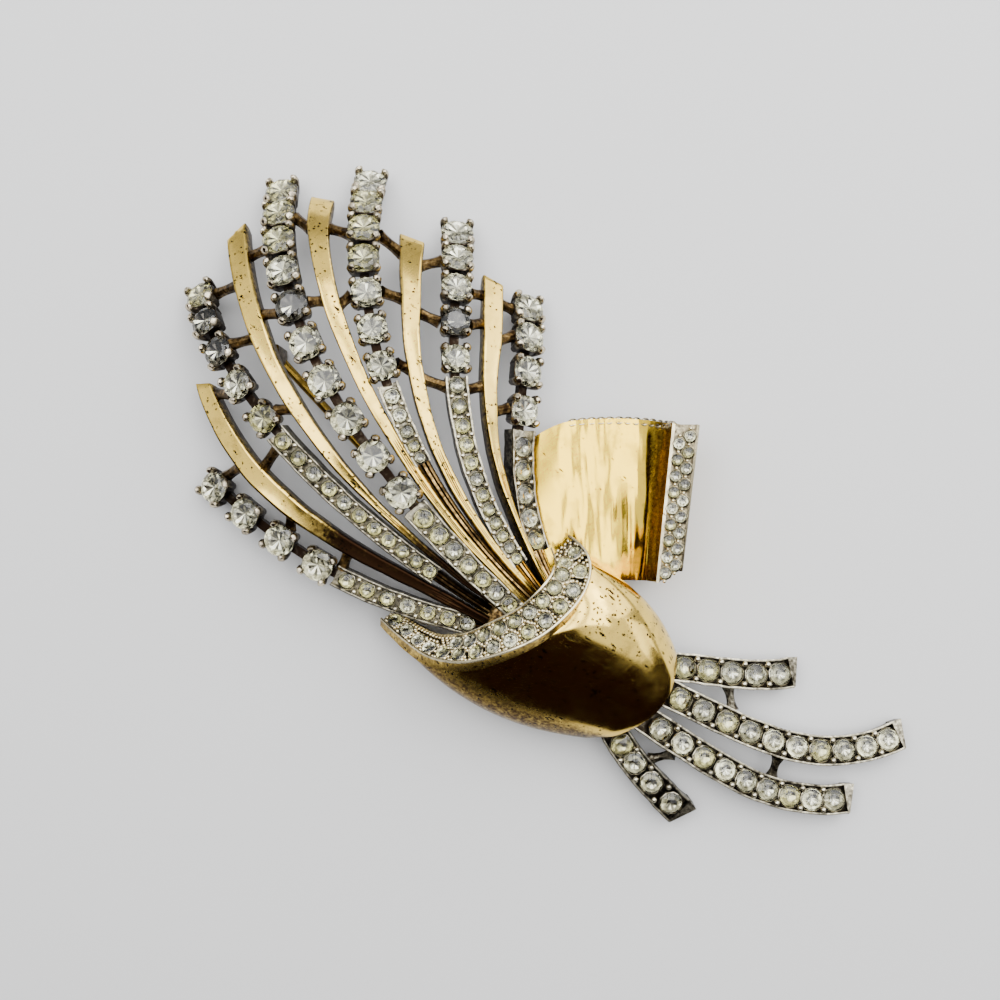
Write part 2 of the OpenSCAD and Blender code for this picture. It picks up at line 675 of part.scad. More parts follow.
module ribbon_stones() {
    color("whitesmoke") translate(to_middle)
        for (i = [0:strip_stones - 1], side = [0, 1])
            let (v = 0.06 + 0.86 * (i + 0.4 * side) / (strip_stones - 0.6),
                 forward = unit(strip_at(v + 0.02, 0.5) - strip_at(v, 0.5)))
            at_frame(frame_of(forward, strip_at(v, 0.3 + 0.4 * side), 0)) stone(strip_stone_d);
}

function stem_pitch(s, j) = share(s[STEM_PITCH[0]], s[STEM_PITCH[1]], j, s[STEM_SETS] - 1);
function stem_s(s, j) =
    whole(s) - s[STEM_END] - (j == 0 ? 0 : j * (stem_pitch(s, 0) + stem_pitch(s, j - 1)) / 2);

module stem(s) {
    open_to = whole(s) - stem_cap;
    tip_w = s[STEM_W[1]];
    channel(s, 0, place_at(s, open_to), s[STEM_W[0]], tip_w, stem_h, 8);
    bar(s, open_to - 0.05, whole(s), tip_w, tip_w - stem_taper, [rail_rise, -stem_h], 1, stem_skew);
}

// A point inside the left (-1) or right (1) rail of a stem
function stem_side(k, t, side) =
    let (s = STEMS[k], w = share(s[STEM_W[0]], s[STEM_W[1]], t, 2))
    on(rib_frame(s, t), side * (w - rail_w) / 2, 0, -stem_h / 2);

module stem_spray() {
    color("silver") translate(to_middle) {
        for (s = STEMS) stem(s);
        for (tie = STEM_TIES)
            tie_bar(stem_side(tie[0], tie[1], 1), stem_side(tie[0] + 1, tie[2], -1), stem_tie_d);
        // Solder at the roots, under the sleeve
        hull() for (l = STEM_ROOTS) lump(l);
    }
}

module stem_stones(k) {
    s = STEMS[k];
    color("whitesmoke") translate(to_middle)
        for (j = [0:s[STEM_SETS] - 1])
            at_frame(rib_frame(s, place_at(s, stem_s(s, j)))) stone(stem_stone_d);
}

// Upright block with a square foot of width w round a place in plan
module block(at, w, top) {
    translate([at.x - w / 2, at.y - w / 2, block_low]) cube([w, w, top - block_low]);
}

module pin_back() {
    color("gold") translate(to_middle) {
        wire([hinge_at.x, hinge_at.y, pin_z], [catch_at.x, catch_at.y, pin_z], pin_d);
        block(hinge_at, hinge_w, hinge_top);
        block(catch_at, catch_w, catch_top);
    }
}

rows = [0:len(ROWS) - 1];
stems = [0:len(STEMS) - 1];
function claws(r) = [0:ROWS[r][CLAWS] - 1];
function channel_name(r) = str("channel_stones_", r + 1);
function stem_name(k) = str("stem_stones_", k + 1);
function claw_name(r, i) = str("claw_stone_", r + 1, "_", i + 1);

spray_frame();
knot_sleeve();
ribbon_tail();
stem_spray();
pin_back();
collar_stones();
ribbon_stones();
for (r = rows) channel_stones(r);
for (k = stems) stem_stones(k);
for (r = rows, i = claws(r)) claw_stone(r, i);
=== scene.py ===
# %% [markdown]
# Flower spray brooch
#
# The real object is an old costume jewel that lies on its back: a domed fan of gilt bands and
# rows of foil-backed stones, gathered in a rolled sleeve with a set collar, with a curled ribbon
# end, four set stems below and a pin on the back.
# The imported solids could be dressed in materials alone, but their claws and rails are coarse.
# So each visible piece is modelled again round the same curves, finer than the solids, and
# stands for the nodes that it covers. The solids stay as the fixed frame.

# %% Load the frame
import math
import random

import bmesh
import bpy
from mathutils import Matrix, Vector, noise


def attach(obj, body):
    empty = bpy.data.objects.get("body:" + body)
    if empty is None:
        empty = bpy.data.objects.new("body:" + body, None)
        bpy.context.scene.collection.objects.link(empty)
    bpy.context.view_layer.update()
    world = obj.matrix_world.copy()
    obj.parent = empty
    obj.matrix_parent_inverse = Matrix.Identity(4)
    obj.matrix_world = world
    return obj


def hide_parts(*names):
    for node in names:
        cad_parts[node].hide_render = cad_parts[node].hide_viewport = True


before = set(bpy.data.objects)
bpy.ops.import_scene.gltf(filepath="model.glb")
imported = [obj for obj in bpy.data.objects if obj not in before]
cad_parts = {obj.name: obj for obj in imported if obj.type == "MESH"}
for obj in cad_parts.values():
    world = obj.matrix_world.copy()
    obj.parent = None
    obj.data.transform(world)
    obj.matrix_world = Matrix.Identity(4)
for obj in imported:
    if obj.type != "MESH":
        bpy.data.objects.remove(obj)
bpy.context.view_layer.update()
MM = 0.001
print("frame nodes:", len(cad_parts))

# %% [markdown]
# The drawing of the brooch
#
# Every rib of the fan is a smooth curve through four points that lie on the stones' girdles. It
# could be a Blender curve object, but a formula gives the place, the direction and the bank at
# any length along the rib, and the stones need all three. The same short tables as in the solids
# give the curves, so a piece needs no fitting. Sizes are millimetres here, and a piece is scaled
# to metres when it is finished.

# %% Curves of the ribs
TO_MIDDLE = Vector((-0.925, -0.205, 0.0))


def through(values, t):
    """Smooth curve through four values, at t = 0, 1/3, 2/3 and 1."""
    a, b, c, d = values
    return (
        a * (-4.5 * (t - 1 / 3) * (t - 2 / 3) * (t - 1))
        + b * (13.5 * t * (t - 2 / 3) * (t - 1))
        - c * (13.5 * t * (t - 1 / 3) * (t - 1))
        + d * (4.5 * t * (t - 1 / 3) * (t - 2 / 3))
    )


def seat(forward, place, bank):
    """Matrix whose axes are a rib's right side, its run and its face, banked right side down."""
    flat_side = forward.cross(Vector((0, 0, 1))).normalized()
    flat_up = flat_side.cross(forward)
    turn = math.radians(bank)
    side = flat_side * math.cos(turn) - flat_up * math.sin(turn)
    up = flat_up * math.cos(turn) + flat_side * math.sin(turn)
    columns = Matrix((side, forward, up)).transposed().to_4x4()
    columns.translation = place + TO_MIDDLE
    return columns


class Rib:
    """One curve of the brooch, with its bank at both ends."""

    STEPS = 30
    NEAR = 0.01

    def __init__(self, points, banks):
        self.points = [Vector(p) for p in points]
        self.banks = banks
        self.lengths = [0.0]
        for i in range(self.STEPS):
            a, b = self.at(i / self.STEPS), self.at((i + 1) / self.STEPS)
            self.lengths.append(self.lengths[-1] + (b - a).length)
        self.whole = self.lengths[-1]

    def at(self, t):
        return through(self.points, t)

    def seat(self, t):
        forward = (self.at(t + self.NEAR) - self.at(t - self.NEAR)).normalized()
        return seat(forward, self.at(t), self.banks[0] * (1 - t) + self.banks[1] * t)

    def place(self, length):
        """Place on the curve, 0 to 1, at this length from its start."""
        for i in range(self.STEPS):
            low, high = self.lengths[i], self.lengths[i + 1]
            if length <= high or i == self.STEPS - 1:
                return (i + max(0.0, length - low) / (high - low)) / self.STEPS

    def seat_at(self, length):
        return self.seat(self.place(length))


def spread(a, b, j, n):
    """Value j of n that run evenly from a to b."""
    return a + (b - a) * j / (n - 1)


# %% Rows, bands and stems
# Points, banks, claw stones, their diameter at the tip and inside, their pitch at both
ROWS = [
    ([(-5.6, -14.1, 6.5), (-17.2, -10.6, 6.5), (-26.6, -5.6, 6.0), (-35.5, 1.0, 3.0)],
     (-5, -13), 4, 3.3, 3.3, 5.0, 5.0),
    ([(-5.1, -12.3, 7.5), (-19.8, -1.3, 8.8), (-31.2, 10.9, 8.3), (-37.1, 22.2, 2.8)],
     (-5, -20), 5, 3.2, 3.0, 4.1, 4.7),
    ([(-0.2, -14.0, 8.3), (-16.0, 2.5, 10.8), (-25.2, 18.4, 10.9), (-28.1, 33.7, 2.8)],
     (3, -10), 10, 3.5, 3.3, 3.9, 4.8),
    ([(0.5, -11.9, 8.4), (-12.7, 4.7, 10.6), (-17.9, 20.9, 10.5), (-18.3, 34.7, 2.8)],
     (10, 3), 7, 3.5, 3.0, 3.9, 4.0),
    ([(1.2, -11.0, 8.2), (-7.0, 3.5, 9.0), (-8.7, 17.0, 8.5), (-8.7, 29.1, 2.8)],
     (16, 10), 5, 3.5, 2.9, 3.9, 4.1),
    ([(2.2, -9.9, 7.2), (-1.3, 0.7, 6.0), (-1.2, 10.4, 6.0), (-0.8, 20.8, 2.8)],
     (38, 28), 4, 3.4, 3.2, 3.8, 4.3),
]
# Stones of each row's channel: count, metal before the first, pitches and diameters
SETS = [
    (7, 0.6, 2.4, 2.2, 1.7, 1.6),
    (11, 0.4, 2.4, 1.75, 1.75, 1.4),
    (8, 0.4, 2.4, 1.8, 2.1, 1.5),
    (5, 0.6, 2.1, 1.4, 1.6, 1.1),
    (12, 0.1, 2.2, 1.35, 1.75, 1.15),
    (5, 0.8, 2.6, 2.5, 2.1, 2.0),
]
# Points, banks, width at each point, skew of the tip
BANDS = [
    ([(-5.4, -13.4, 7.0), (-17.6, -6.9, 7.5), (-28.8, 0.8, 7.0), (-36.6, 12.4, 3.6)],
     (-5, -16), (1.0, 1.6, 2.2, 1.8), 0.4),
    ([(-3.5, -12.3, 8.0), (-16.7, -1.3, 9.5), (-27.1, 12.0, 9.6), (-32.9, 29.0, 3.8)],
     (0, -12), (0.6, 1.0, 1.8, 2.4), -0.9),
    ([(0.1, -12.4, 8.4), (-13.6, 3.6, 10.5), (-21.5, 19.9, 10.4), (-23.4, 32.6, 3.8)],
     (6, 0), (0.6, 1.2, 1.8, 2.8), 0.2),
    ([(0.9, -11.4, 8.3), (-9.8, 3.3, 9.9), (-13.2, 16.5, 9.4), (-13.6, 28.3, 3.8)],
     (15, 8), (0.6, 1.2, 1.8, 2.8), 0.6),
    ([(1.7, -10.4, 7.8), (-4.0, 3.3, 7.6), (-4.9, 13.2, 7.3), (-4.7, 23.7, 3.8)],
     (30, 15), (0.6, 1.0, 1.8, 2.3), 0.6),
]
# Points, banks, stones, metal beyond the last, pitches, widths
STEMS = [
    ([(11.0, -18.3, 5.0), (17.3, -18.8, 4.4), (23.0, -19.5, 3.6), (28.4, -19.4, 2.4)],
     (-8, -8), 5, 1.6, 2.8, 2.7, 3.1, 3.4),
    ([(10.3, -19.6, 5.2), (20.2, -24.3, 4.6), (29.9, -27.7, 3.6), (40.3, -26.3, 2.2)],
     (-8, -8), 10, 1.5, 2.6, 2.9, 3.1, 3.3),
    ([(8.0, -21.8, 5.0), (17.2, -27.8, 4.4), (25.6, -32.3, 3.2), (34.6, -33.4, 2.2)],
     (-8, -8), 9, 1.7, 2.5, 2.9, 3.1, 3.3),
    ([(7.0, -22.6, 4.6), (9.3, -27.2, 4.0), (12.4, -31.2, 3.4), (16.0, -35.0, 2.4)],
     (6, 6), 4, 1.7, 3.3, 2.5, 2.9, 3.4),
]
row_ribs = [Rib(row[0], row[1]) for row in ROWS]
band_ribs = [Rib(band[0], band[1]) for band in BANDS]
stem_ribs = [Rib(stem[0], stem[1]) for stem in STEMS]
ribs = [rib for pair in zip(row_ribs, band_ribs) for rib in pair] + [row_ribs[-1]]
print("rib lengths in mm:", [round(rib.whole, 1) for rib in ribs + stem_ribs])

# %% Where the stones sit
SEAT_GAP = 0.1
RAIL_W = 0.25
RAIL_RISE = 0.15
CHANNEL_GAP = 0.5
CHANNEL_END = 0.15


def claw_size(r, i):
    return spread(ROWS[r][3], ROWS[r][4], i, ROWS[r][2])


def claw_length(r, i):
    """Length from the neck to claw stone i of row r, counted from the tip."""
    first, last, count = ROWS[r][5], ROWS[r][6], ROWS[r][2]
    if i == 0:
        return row_ribs[r].whole
    return row_ribs[r].whole - i * (first + spread(first, last, i - 1, count - 1)) / 2


def channel_outer(r):
    last = ROWS[r][2] - 1
    return claw_length(r, last) - claw_size(r, last) / 2 - CHANNEL_GAP


def set_size(r, j):
    return spread(SETS[r][4], SETS[r][5], j, SETS[r][0])


def set_length(r, j):
    count, before, first, last = SETS[r][:4]
    start = channel_outer(r) - before - set_size(r, 0) / 2
    return start - (j * (first + spread(first, last, j - 1, count - 1)) / 2 if j else 0)


def channel_inner(r):
    last = SETS[r][0] - 1
    return max(0.0, set_length(r, last) - set_size(r, last) / 2 - CHANNEL_END)


def channel_width(size):
    return size + 2 * (SEAT_GAP + RAIL_W)


def stem_length(k, j):
    count, end, first, last = STEMS[k][2:6]
    start = stem_ribs[k].whole - end
    return start - (j * (first + spread(first, last, j - 1, count - 1)) / 2 if j else 0)


MOST_LEAN = math.radians(36)
LEAN_BACK = 0.9


def claw_seat(r, i):
    """Seat of a claw stone; where the rib drops steeply at its tip, the cup leans back a little."""
    placed = row_ribs[r].seat_at(claw_length(r, i))
    slope = math.asin(-placed.col[1].z)
    return placed @ Matrix.Rotation(max(0.0, slope - MOST_LEAN) * LEAN_BACK, 4, "X")


claw_places = [
    [(claw_seat(r, i), claw_size(r, i)) for i in range(ROWS[r][2])] for r in range(len(ROWS))
]
set_places = [
    [(row_ribs[r].seat_at(set_length(r, j)), set_size(r, j)) for j in range(SETS[r][0])]
    for r in range(len(ROWS))
]
STEM_STONE = 2.4
stem_places = [
    [(stem_ribs[k].seat_at(stem_length(k, j)), STEM_STONE) for j in range(STEMS[k][2])]
    for k in range(len(STEMS))
]
print("claw stones:", sum(map(len, claw_places)), "channel stones:", sum(map(len, set_places)))

# %% [markdown]
# Modelling helpers
#
# Almost every metal piece here is a section drawn along a curve. A Blender curve with a bevel
# object could do that, but it can't change its section on the way. So a first ring of vertices
# is extruded ring by ring, and each new ring is moved to its station. A layer of vertex values
# named recess says how deep a spot lies between raised metal. Tarnish gathers there, because the
# polishing cloth never reaches it, and the same value paints the shade that falls there.

# %% Rings, sweeps and finished pieces
# Faces that meet at less than this angle count as one flat face
FLAT = math.radians(1)


def ring_edges(bm, ring):
    return [bm.edges.get((a, b)) for a, b in zip(ring, ring[1:] + ring[:1])]


def first_ring(bm, points):
    ring = [bm.verts.new(p) for p in points]
    for a, b in zip(ring, ring[1:] + ring[:1]):
        bm.edges.new((a, b))
    return ring


def next_ring(bm, ring, points):
    """Extrudes a ring of vertices once and moves the new ring to these points."""
    made = bmesh.ops.extrude_edge_only(bm, edges=ring_edges(bm, ring))["geom"]
    fresh = {v for v in made if isinstance(v, bmesh.types.BMVert)}
    after = []
    for old, point in zip(ring, points):
        new = next(e.other_vert(old) for e in old.link_edges if e.other_vert(old) in fresh)
        new.co = point
        after.append(new)
    return after


def recess_layer(bm):
    layers = bm.verts.layers.float
    return layers.get("recess") or layers.new("recess")


def set_recess(bm, ring, values):
    layer = recess_layer(bm)
    for v, value in zip(ring, values):
        v[layer] = value


def sweep(bm, rings, recess=None):
    """Closed body through rings of points, with each point's recess value in every ring."""
    recess_layer(bm)
    made = [first_ring(bm, rings[0])]
    for points in rings[1:]:
        made.append(next_ring(bm, made[-1], points))
    for end in (made[0], made[-1]):
        bmesh.ops.contextual_create(bm, geom=ring_edges(bm, end))
    if recess:
        for ring in made:
            set_recess(bm, ring, recess)
    return made


def join_in(bm, part, matrix):
    """Adds a copy of a small mesh, placed by the matrix."""
    part.transform(matrix)
    bm.from_mesh(part)
    part.transform(matrix.inverted())


def soften(bm, edges, width, segments=2):
    bmesh.ops.bevel(
        bm, geom=edges, offset=width, offset_type="OFFSET", segments=segments,
        profile=0.5, affect="EDGES", material=-1, clamp_overlap=True,
    )


def finish_piece(name, bm, finishes, stands_for, smooth_to=40):
    """Turns a mesh drawn in millimetres into a piece in metres that rides with the brooch."""
    bmesh.ops.recalc_face_normals(bm, faces=bm.faces)
    bmesh.ops.scale(bm, vec=(MM, MM, MM), verts=bm.verts)
    mesh = bpy.data.meshes.new(name)
    bm.to_mesh(mesh)
    bm.free()
    for finish in finishes:
        mesh.materials.append(finish)
    mesh.shade_smooth()
    mesh.set_sharp_from_angle(angle=math.radians(smooth_to))
    piece = bpy.data.objects.new(name, mesh)
    bpy.context.scene.collection.objects.link(piece)
    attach(piece, "root")
    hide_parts(*stands_for)
    print(name, "faces:", len(mesh.polygons))
    return piece


# %% [markdown]
# Finishes
#
# Old gilt is not one yellow: it is satin where it was rubbed, brown in the recesses, and full
# of tiny black pits and hair-fine scratches. Painted pictures could show that, but they would
# need an unwrapped mesh for each piece. So one node group ages every plating and paints shade
# into its recesses, and each metal gives it its own colours and amounts. The pattern runs on
# object coordinates in millimetres, so it has the same scale on all pieces.

# %% Node helpers
def value_socket(group, name, in_out, kind="NodeSocketFloat", default=None):
    socket = group.interface.new_socket(name=name, in_out=in_out, socket_type=kind)
    if default is not None:
        socket.default_value = default
    return socket


class Wiring:
    """Short calls for adding nodes to one tree."""

    def __init__(self, tree):
        self.tree = tree

    def node(self, kind, **settings):
        made = self.tree.nodes.new(kind)
        for key, value in settings.items():
            setattr(made, key, value)
        return made

    def feed(self, socket, value):
        if isinstance(value, bpy.types.NodeSocket):
            self.tree.links.new(value, socket)
        else:
            socket.default_value = value

    def math(self, operation, a, b=0.0, clamp=False):
        made = self.node("ShaderNodeMath", operation=operation, use_clamp=clamp)
        self.feed(made.inputs[0], a)
        self.feed(made.inputs[1], b)
        return made.outputs[0]

    def mix(self, factor, a, b, blend="MIX"):
        made = self.node("ShaderNodeMix", data_type="RGBA", blend_type=blend)
        self.feed(made.inputs["Factor"], factor)
        self.feed(made.inputs[6], a)
        self.feed(made.inputs[7], b)
        return made.outputs[2]

    def between(self, value, low, high, out_low=0.0, out_high=1.0):
        made = self.node("ShaderNodeMapRange", interpolation_type="SMOOTHSTEP")
        self.feed(made.inputs["Value"], value)
        for name, number in zip(
            ("From Min", "From Max", "To Min", "To Max"), (low, high, out_low, out_high)
        ):
            self.feed(made.inputs[name], number)
        return made.outputs["Result"]

    def noise(self, vector, scale, detail=3.0, roughness=0.55):
        made = self.node("ShaderNodeTexNoise")
        self.feed(made.inputs["Vector"], vector)
        self.feed(made.inputs["Scale"], scale)
        self.feed(made.inputs["Detail"], detail)
        self.feed(made.inputs["Roughness"], roughness)
        return made.outputs["Fac"]

    def millimetres(self):
        """Object coordinates in millimetres."""
        where = self.node("ShaderNodeTexCoord").outputs["Object"]
        made = self.node("ShaderNodeVectorMath", operation="SCALE")
        self.feed(made.inputs[0], where)
        made.inputs["Scale"].default_value = 1000.0
        return made.outputs[0]

    def stretched(self, vector, turn, stretch):
        """The same coordinates turned about Z and stretched, for scratches and drawn-out pits."""
        made = self.node("ShaderNodeMapping")
        self.feed(made.inputs["Vector"], vector)
        made.vector_type = "TEXTURE"
        made.inputs["Rotation"].default_value = (0.0, 0.0, math.radians(turn))
        made.inputs["Scale"].default_value = [1 / share for share in stretch]
        return made.outputs[0]


# %% The group that ages a plating and paints shade into its recesses
# Sizes of the patterns, as features in a millimetre, and the turn of the marks in degrees
GRAIN, CLOUD, BLOT = 9.0, 0.55, 2.2
PIT_CELLS, NICK_CELLS = 1.9, 1.5
SCRATCH_TURN, SCRATCH_STRETCH = 38, (0.25, 9.0, 1.0)
NICK_TURN, NICK_STRETCH = -42, (0.25, 0.95, 0.8)
# Reach of a pit as a share of its cell, at a full amount of pits
PIT_REACH, NICK_REACH = 0.33, 0.24
PIT_COLOUR = (0.006, 0.004, 0.002, 1.0)
# Share of the grain in the plating's colour, and how much duller tarnish is than plating
GRAIN_TONE, TARNISH_ROUGHNESS, SCRATCH_ROUGHNESS = 0.10, 0.3, 0.16
# Shares of grain, scratches and pits in the relief
GRAIN_RELIEF, SCRATCH_RELIEF, PIT_RELIEF = 0.35, 0.4, 0.4


def make_aged_and_shaded_plating():
    group = bpy.data.node_groups.new("aged_and_shaded_plating", "ShaderNodeTree")
    value_socket(group, "Plating", "INPUT", "NodeSocketColor")
    value_socket(group, "Tarnish and shade", "INPUT", "NodeSocketColor")
    value_socket(group, "Recess", "INPUT", default=0.0)
    value_socket(group, "Pits", "INPUT", default=0.5)
    value_socket(group, "Clouds", "INPUT", default=0.3)
    value_socket(group, "Gloss", "INPUT", default=0.2)
    value_socket(group, "Color", "OUTPUT", "NodeSocketColor")
    value_socket(group, "Roughness", "OUTPUT")
    value_socket(group, "Height", "OUTPUT")
    w = Wiring(group)
    given = w.node("NodeGroupInput").outputs
    where = w.millimetres()
    grain = w.noise(where, GRAIN, 4.0, 0.65)
    clouds = w.noise(where, CLOUD, 3.0, 0.6)
    scratches = w.noise(w.stretched(where, SCRATCH_TURN, SCRATCH_STRETCH), 1.0, 2.0, 0.6)
    # Pits are the close surroundings of scattered cell points
    cells = w.node("ShaderNodeTexVoronoi", feature="F1")
    w.feed(cells.inputs["Vector"], where)
    w.feed(cells.inputs["Scale"], PIT_CELLS)
    spotty = w.between(w.noise(where, 0.8, 2.0), 0.40, 0.58)
    reach = w.math("MULTIPLY", w.math("MULTIPLY", given["Pits"], spotty), PIT_REACH)
    reach = w.math("MULTIPLY", reach, w.between(grain, 0.3, 0.65, 0.4, 1.2))
    round_pit = w.between(w.math("SUBTRACT", reach, cells.outputs["Distance"]), 0.0, 0.05)
    # Short dark nicks are cells of the same kind, drawn out along one direction
    drawn = w.node("ShaderNodeTexVoronoi", feature="F1")
    w.feed(drawn.inputs["Vector"], w.stretched(where, NICK_TURN, NICK_STRETCH))
    w.feed(drawn.inputs["Scale"], NICK_CELLS)
    nicked = w.between(w.noise(where, 0.5, 2.0), 0.42, 0.56)
    nick = w.math("MULTIPLY", w.math("MULTIPLY", given["Pits"], nicked), NICK_REACH)
    nick = w.math("MULTIPLY", nick, w.between(grain, 0.3, 0.65, 0.3, 1.3))
    long_pit = w.between(w.math("SUBTRACT", nick, drawn.outputs["Distance"]), 0.0, 0.03)
    pit = w.math("MAXIMUM", round_pit, long_pit)
    # Tarnish and painted shade start in the recesses, and the tarnish creeps out in clouds. Blots
    # break their edge, most of all where a recess is shallow, which leaves a mottled half-worn zone.
    creep = w.math("MULTIPLY", w.between(clouds, 0.45, 0.72), given["Clouds"])
    blots = w.noise(where, BLOT, 4.0, 0.7)
    shallow = w.math("MULTIPLY", w.math("SUBTRACT", 1.15, given["Recess"]), 5.0)
    rough_edge = w.math("MULTIPLY", w.math("SUBTRACT", blots, 0.5), shallow)
    depth = w.math("ADD", given["Recess"], w.math("MULTIPLY", rough_edge, given["Recess"]))
    depth = w.math("MAXIMUM", depth, 0.0)
    bare = w.math("SUBTRACT", 1.0, w.math("ADD", depth, creep), clamp=True)
    dull = w.math("SUBTRACT", 1.0, w.math("MULTIPLY", bare, bare))
    tone = w.mix(w.between(grain, 0.35, 0.7), given["Plating"], given["Tarnish and shade"])
    shaded = w.mix(GRAIN_TONE, given["Plating"], tone)
    aged_and_shaded = w.mix(dull, shaded, given["Tarnish and shade"])
    out = w.node("NodeGroupOutput")
    w.feed(out.inputs["Color"], w.mix(pit, aged_and_shaded, PIT_COLOUR))
    brushed = w.math("MULTIPLY", w.math("SUBTRACT", scratches, 0.5), SCRATCH_ROUGHNESS)
    satin = w.math("ADD", given["Gloss"], brushed)
    matt = w.math("MULTIPLY", dull, TARNISH_ROUGHNESS)
    w.feed(out.inputs["Roughness"], w.math("ADD", satin, matt, clamp=True))
    grainy = w.math("MULTIPLY", grain, GRAIN_RELIEF)
    relief = w.math("ADD", grainy, w.math("MULTIPLY", scratches, SCRATCH_RELIEF))
    w.feed(out.inputs["Height"], w.math("SUBTRACT", relief, w.math("MULTIPLY", pit, PIT_RELIEF)))
    return group


aged_and_shaded_plating = make_aged_and_shaded_plating()
print("ageing group nodes:", len(aged_and_shaded_plating.nodes))

# %% Platings
BUMP_STRENGTH = 0.6


def metal_finish(name, plating, tarnish_and_shade, pits, clouds, gloss, bump=0.012):
    """Plated metal with its own colours and amount of age, and its relief in millimetres."""
    made = bpy.data.materials.new(name)
    made.use_nodes = True
    w = Wiring(made.node_tree)
    shader = made.node_tree.nodes["Principled BSDF"]
    age_and_shade = w.node("ShaderNodeGroup", node_tree=aged_and_shaded_plating)
    age_and_shade.inputs["Plating"].default_value = (*plating, 1.0)
    age_and_shade.inputs["Tarnish and shade"].default_value = (*tarnish_and_shade, 1.0)
    age_and_shade.inputs["Pits"].default_value = pits
    age_and_shade.inputs["Clouds"].default_value = clouds
    age_and_shade.inputs["Gloss"].default_value = gloss
    recess = w.node("ShaderNodeAttribute", attribute_name="recess")
    w.feed(age_and_shade.inputs["Recess"], recess.outputs["Fac"])
    relief = w.node("ShaderNodeBump")
    relief.inputs["Strength"].default_value = BUMP_STRENGTH
    relief.inputs["Distance"].default_value = bump * MM
    w.feed(relief.inputs["Height"], age_and_shade.outputs["Height"])
    w.feed(shader.inputs["Base Color"], age_and_shade.outputs["Color"])
    w.feed(shader.inputs["Roughness"], age_and_shade.outputs["Roughness"])
    w.feed(shader.inputs["Normal"], relief.outputs["Normal"])
    shader.inputs["Metallic"].default_value = 1.0
    made.diffuse_color = (*plating, 1.0)
    return made


GILT, GILT_BUMP = (0.93, 0.645, 0.14), 0.007
gilt = metal_finish("pale_gilt", GILT, (0.050, 0.022, 0.006), 1.0, 0.14, 0.12, GILT_BUMP)
# The bands' near-black tarnish colour also paints the dark reflection where they dive under the collar
band_gilt = metal_finish("band_gilt", GILT, (0.020, 0.009, 0.004), 1.0, 0.14, 0.12, GILT_BUMP)
ribbon_gilt = metal_finish(
    "ribbon_gilt", (0.95, 0.63, 0.055), (0.06, 0.026, 0.006), 0.5, 0.12, 0.09, GILT_BUMP
)
dark_gilt = metal_finish("brown_gilt", (0.66, 0.42, 0.15), (0.020, 0.010, 0.004), 0.6, 0.42, 0.15)
rhodium = metal_finish("worn_rhodium", (0.76, 0.70, 0.52), (0.018, 0.013, 0.008), 0.5, 0.34, 0.16)
champagne = metal_finish("claw_metal", (0.68, 0.59, 0.43), (0.014, 0.008, 0.005), 0.4, 0.32, 0.13)
cream = metal_finish("cream_collar", (0.82, 0.72, 0.47), (0.04, 0.028, 0.016), 0.5, 0.22, 0.16)
# The pin's dark gold is painted shade, for the shadow it lies in under the ribs
pin_gilt_painted_shade = metal_finish("pin_gilt_painted_shade", (0.20, 0.125, 0.02), (0.03, 0.016, 0.004), 0.5, 0.4, 0.2)
print("platings:", [made.name for made in bpy.data.materials])

# %% [markdown]
# Foil-backed stones
#
# Each stone is clear glass with a mirror foil on its pointed back. Light goes in through the
# crown, is thrown back by the foil and comes out bright or dark facet by facet. A stone could be
# one glass body, but the table below would show through it. So the crown faces get a glass
# finish and the back faces a mirror. The back is shallow, its facets tilt in turn, and every
# second one in the middle has a duller foil, a painted reflection which draws the star seen in
# the real stones. Age turns the foil olive. In some stones the back facets on the upper side get
# a grey or nearly black foil, which paints the dark reflection that their upper half shows.

# %% Glass and foil
LEAD_GLASS = 1.56
HAZE_SCALE, MOST_HAZE = 1.6, 0.05
PATCH_SCALE = 0.9
FOIL_ROUGHNESS = (0.10, 0.24)


def glass_finish(name, tint):
    made = bpy.data.materials.new(name)
    made.use_nodes = True
    w = Wiring(made.node_tree)
    shader = made.node_tree.nodes["Principled BSDF"]
    haze = w.between(w.noise(w.millimetres(), HAZE_SCALE, 3.0), 0.4, 0.75, 0.0, MOST_HAZE)
    w.feed(shader.inputs["Roughness"], haze)
    shader.inputs["Base Color"].default_value = (*tint, 1.0)
    shader.inputs["Transmission Weight"].default_value = 1.0
    shader.inputs["IOR"].default_value = LEAD_GLASS
    made.diffuse_color = (*tint, 1.0)
    return made


def foil_finish(name, bright, dull):
    made = bpy.data.materials.new(name)
    made.use_nodes = True
    w = Wiring(made.node_tree)
    shader = made.node_tree.nodes["Principled BSDF"]
    patches = w.between(w.noise(w.millimetres(), PATCH_SCALE, 3.0), 0.42, 0.7)
    w.feed(shader.inputs["Base Color"], w.mix(patches, (*bright, 1.0), (*dull, 1.0)))
    w.feed(shader.inputs["Roughness"], w.between(patches, 0.0, 1.0, *FOIL_ROUGHNESS))
    shader.inputs["Metallic"].default_value = 1.0
    made.diffuse_color = (*bright, 1.0)
    return made


clear_glass = glass_finish("clear_glass", (0.97, 0.97, 0.90))
straw_glass = glass_finish("straw_glass", (0.95, 0.94, 0.78))
clear_foil = foil_finish("clear_foil", (0.76, 0.75, 0.64), (0.44, 0.42, 0.32))
olive_foil = foil_finish("olive_foil", (0.62, 0.60, 0.42), (0.34, 0.32, 0.20))
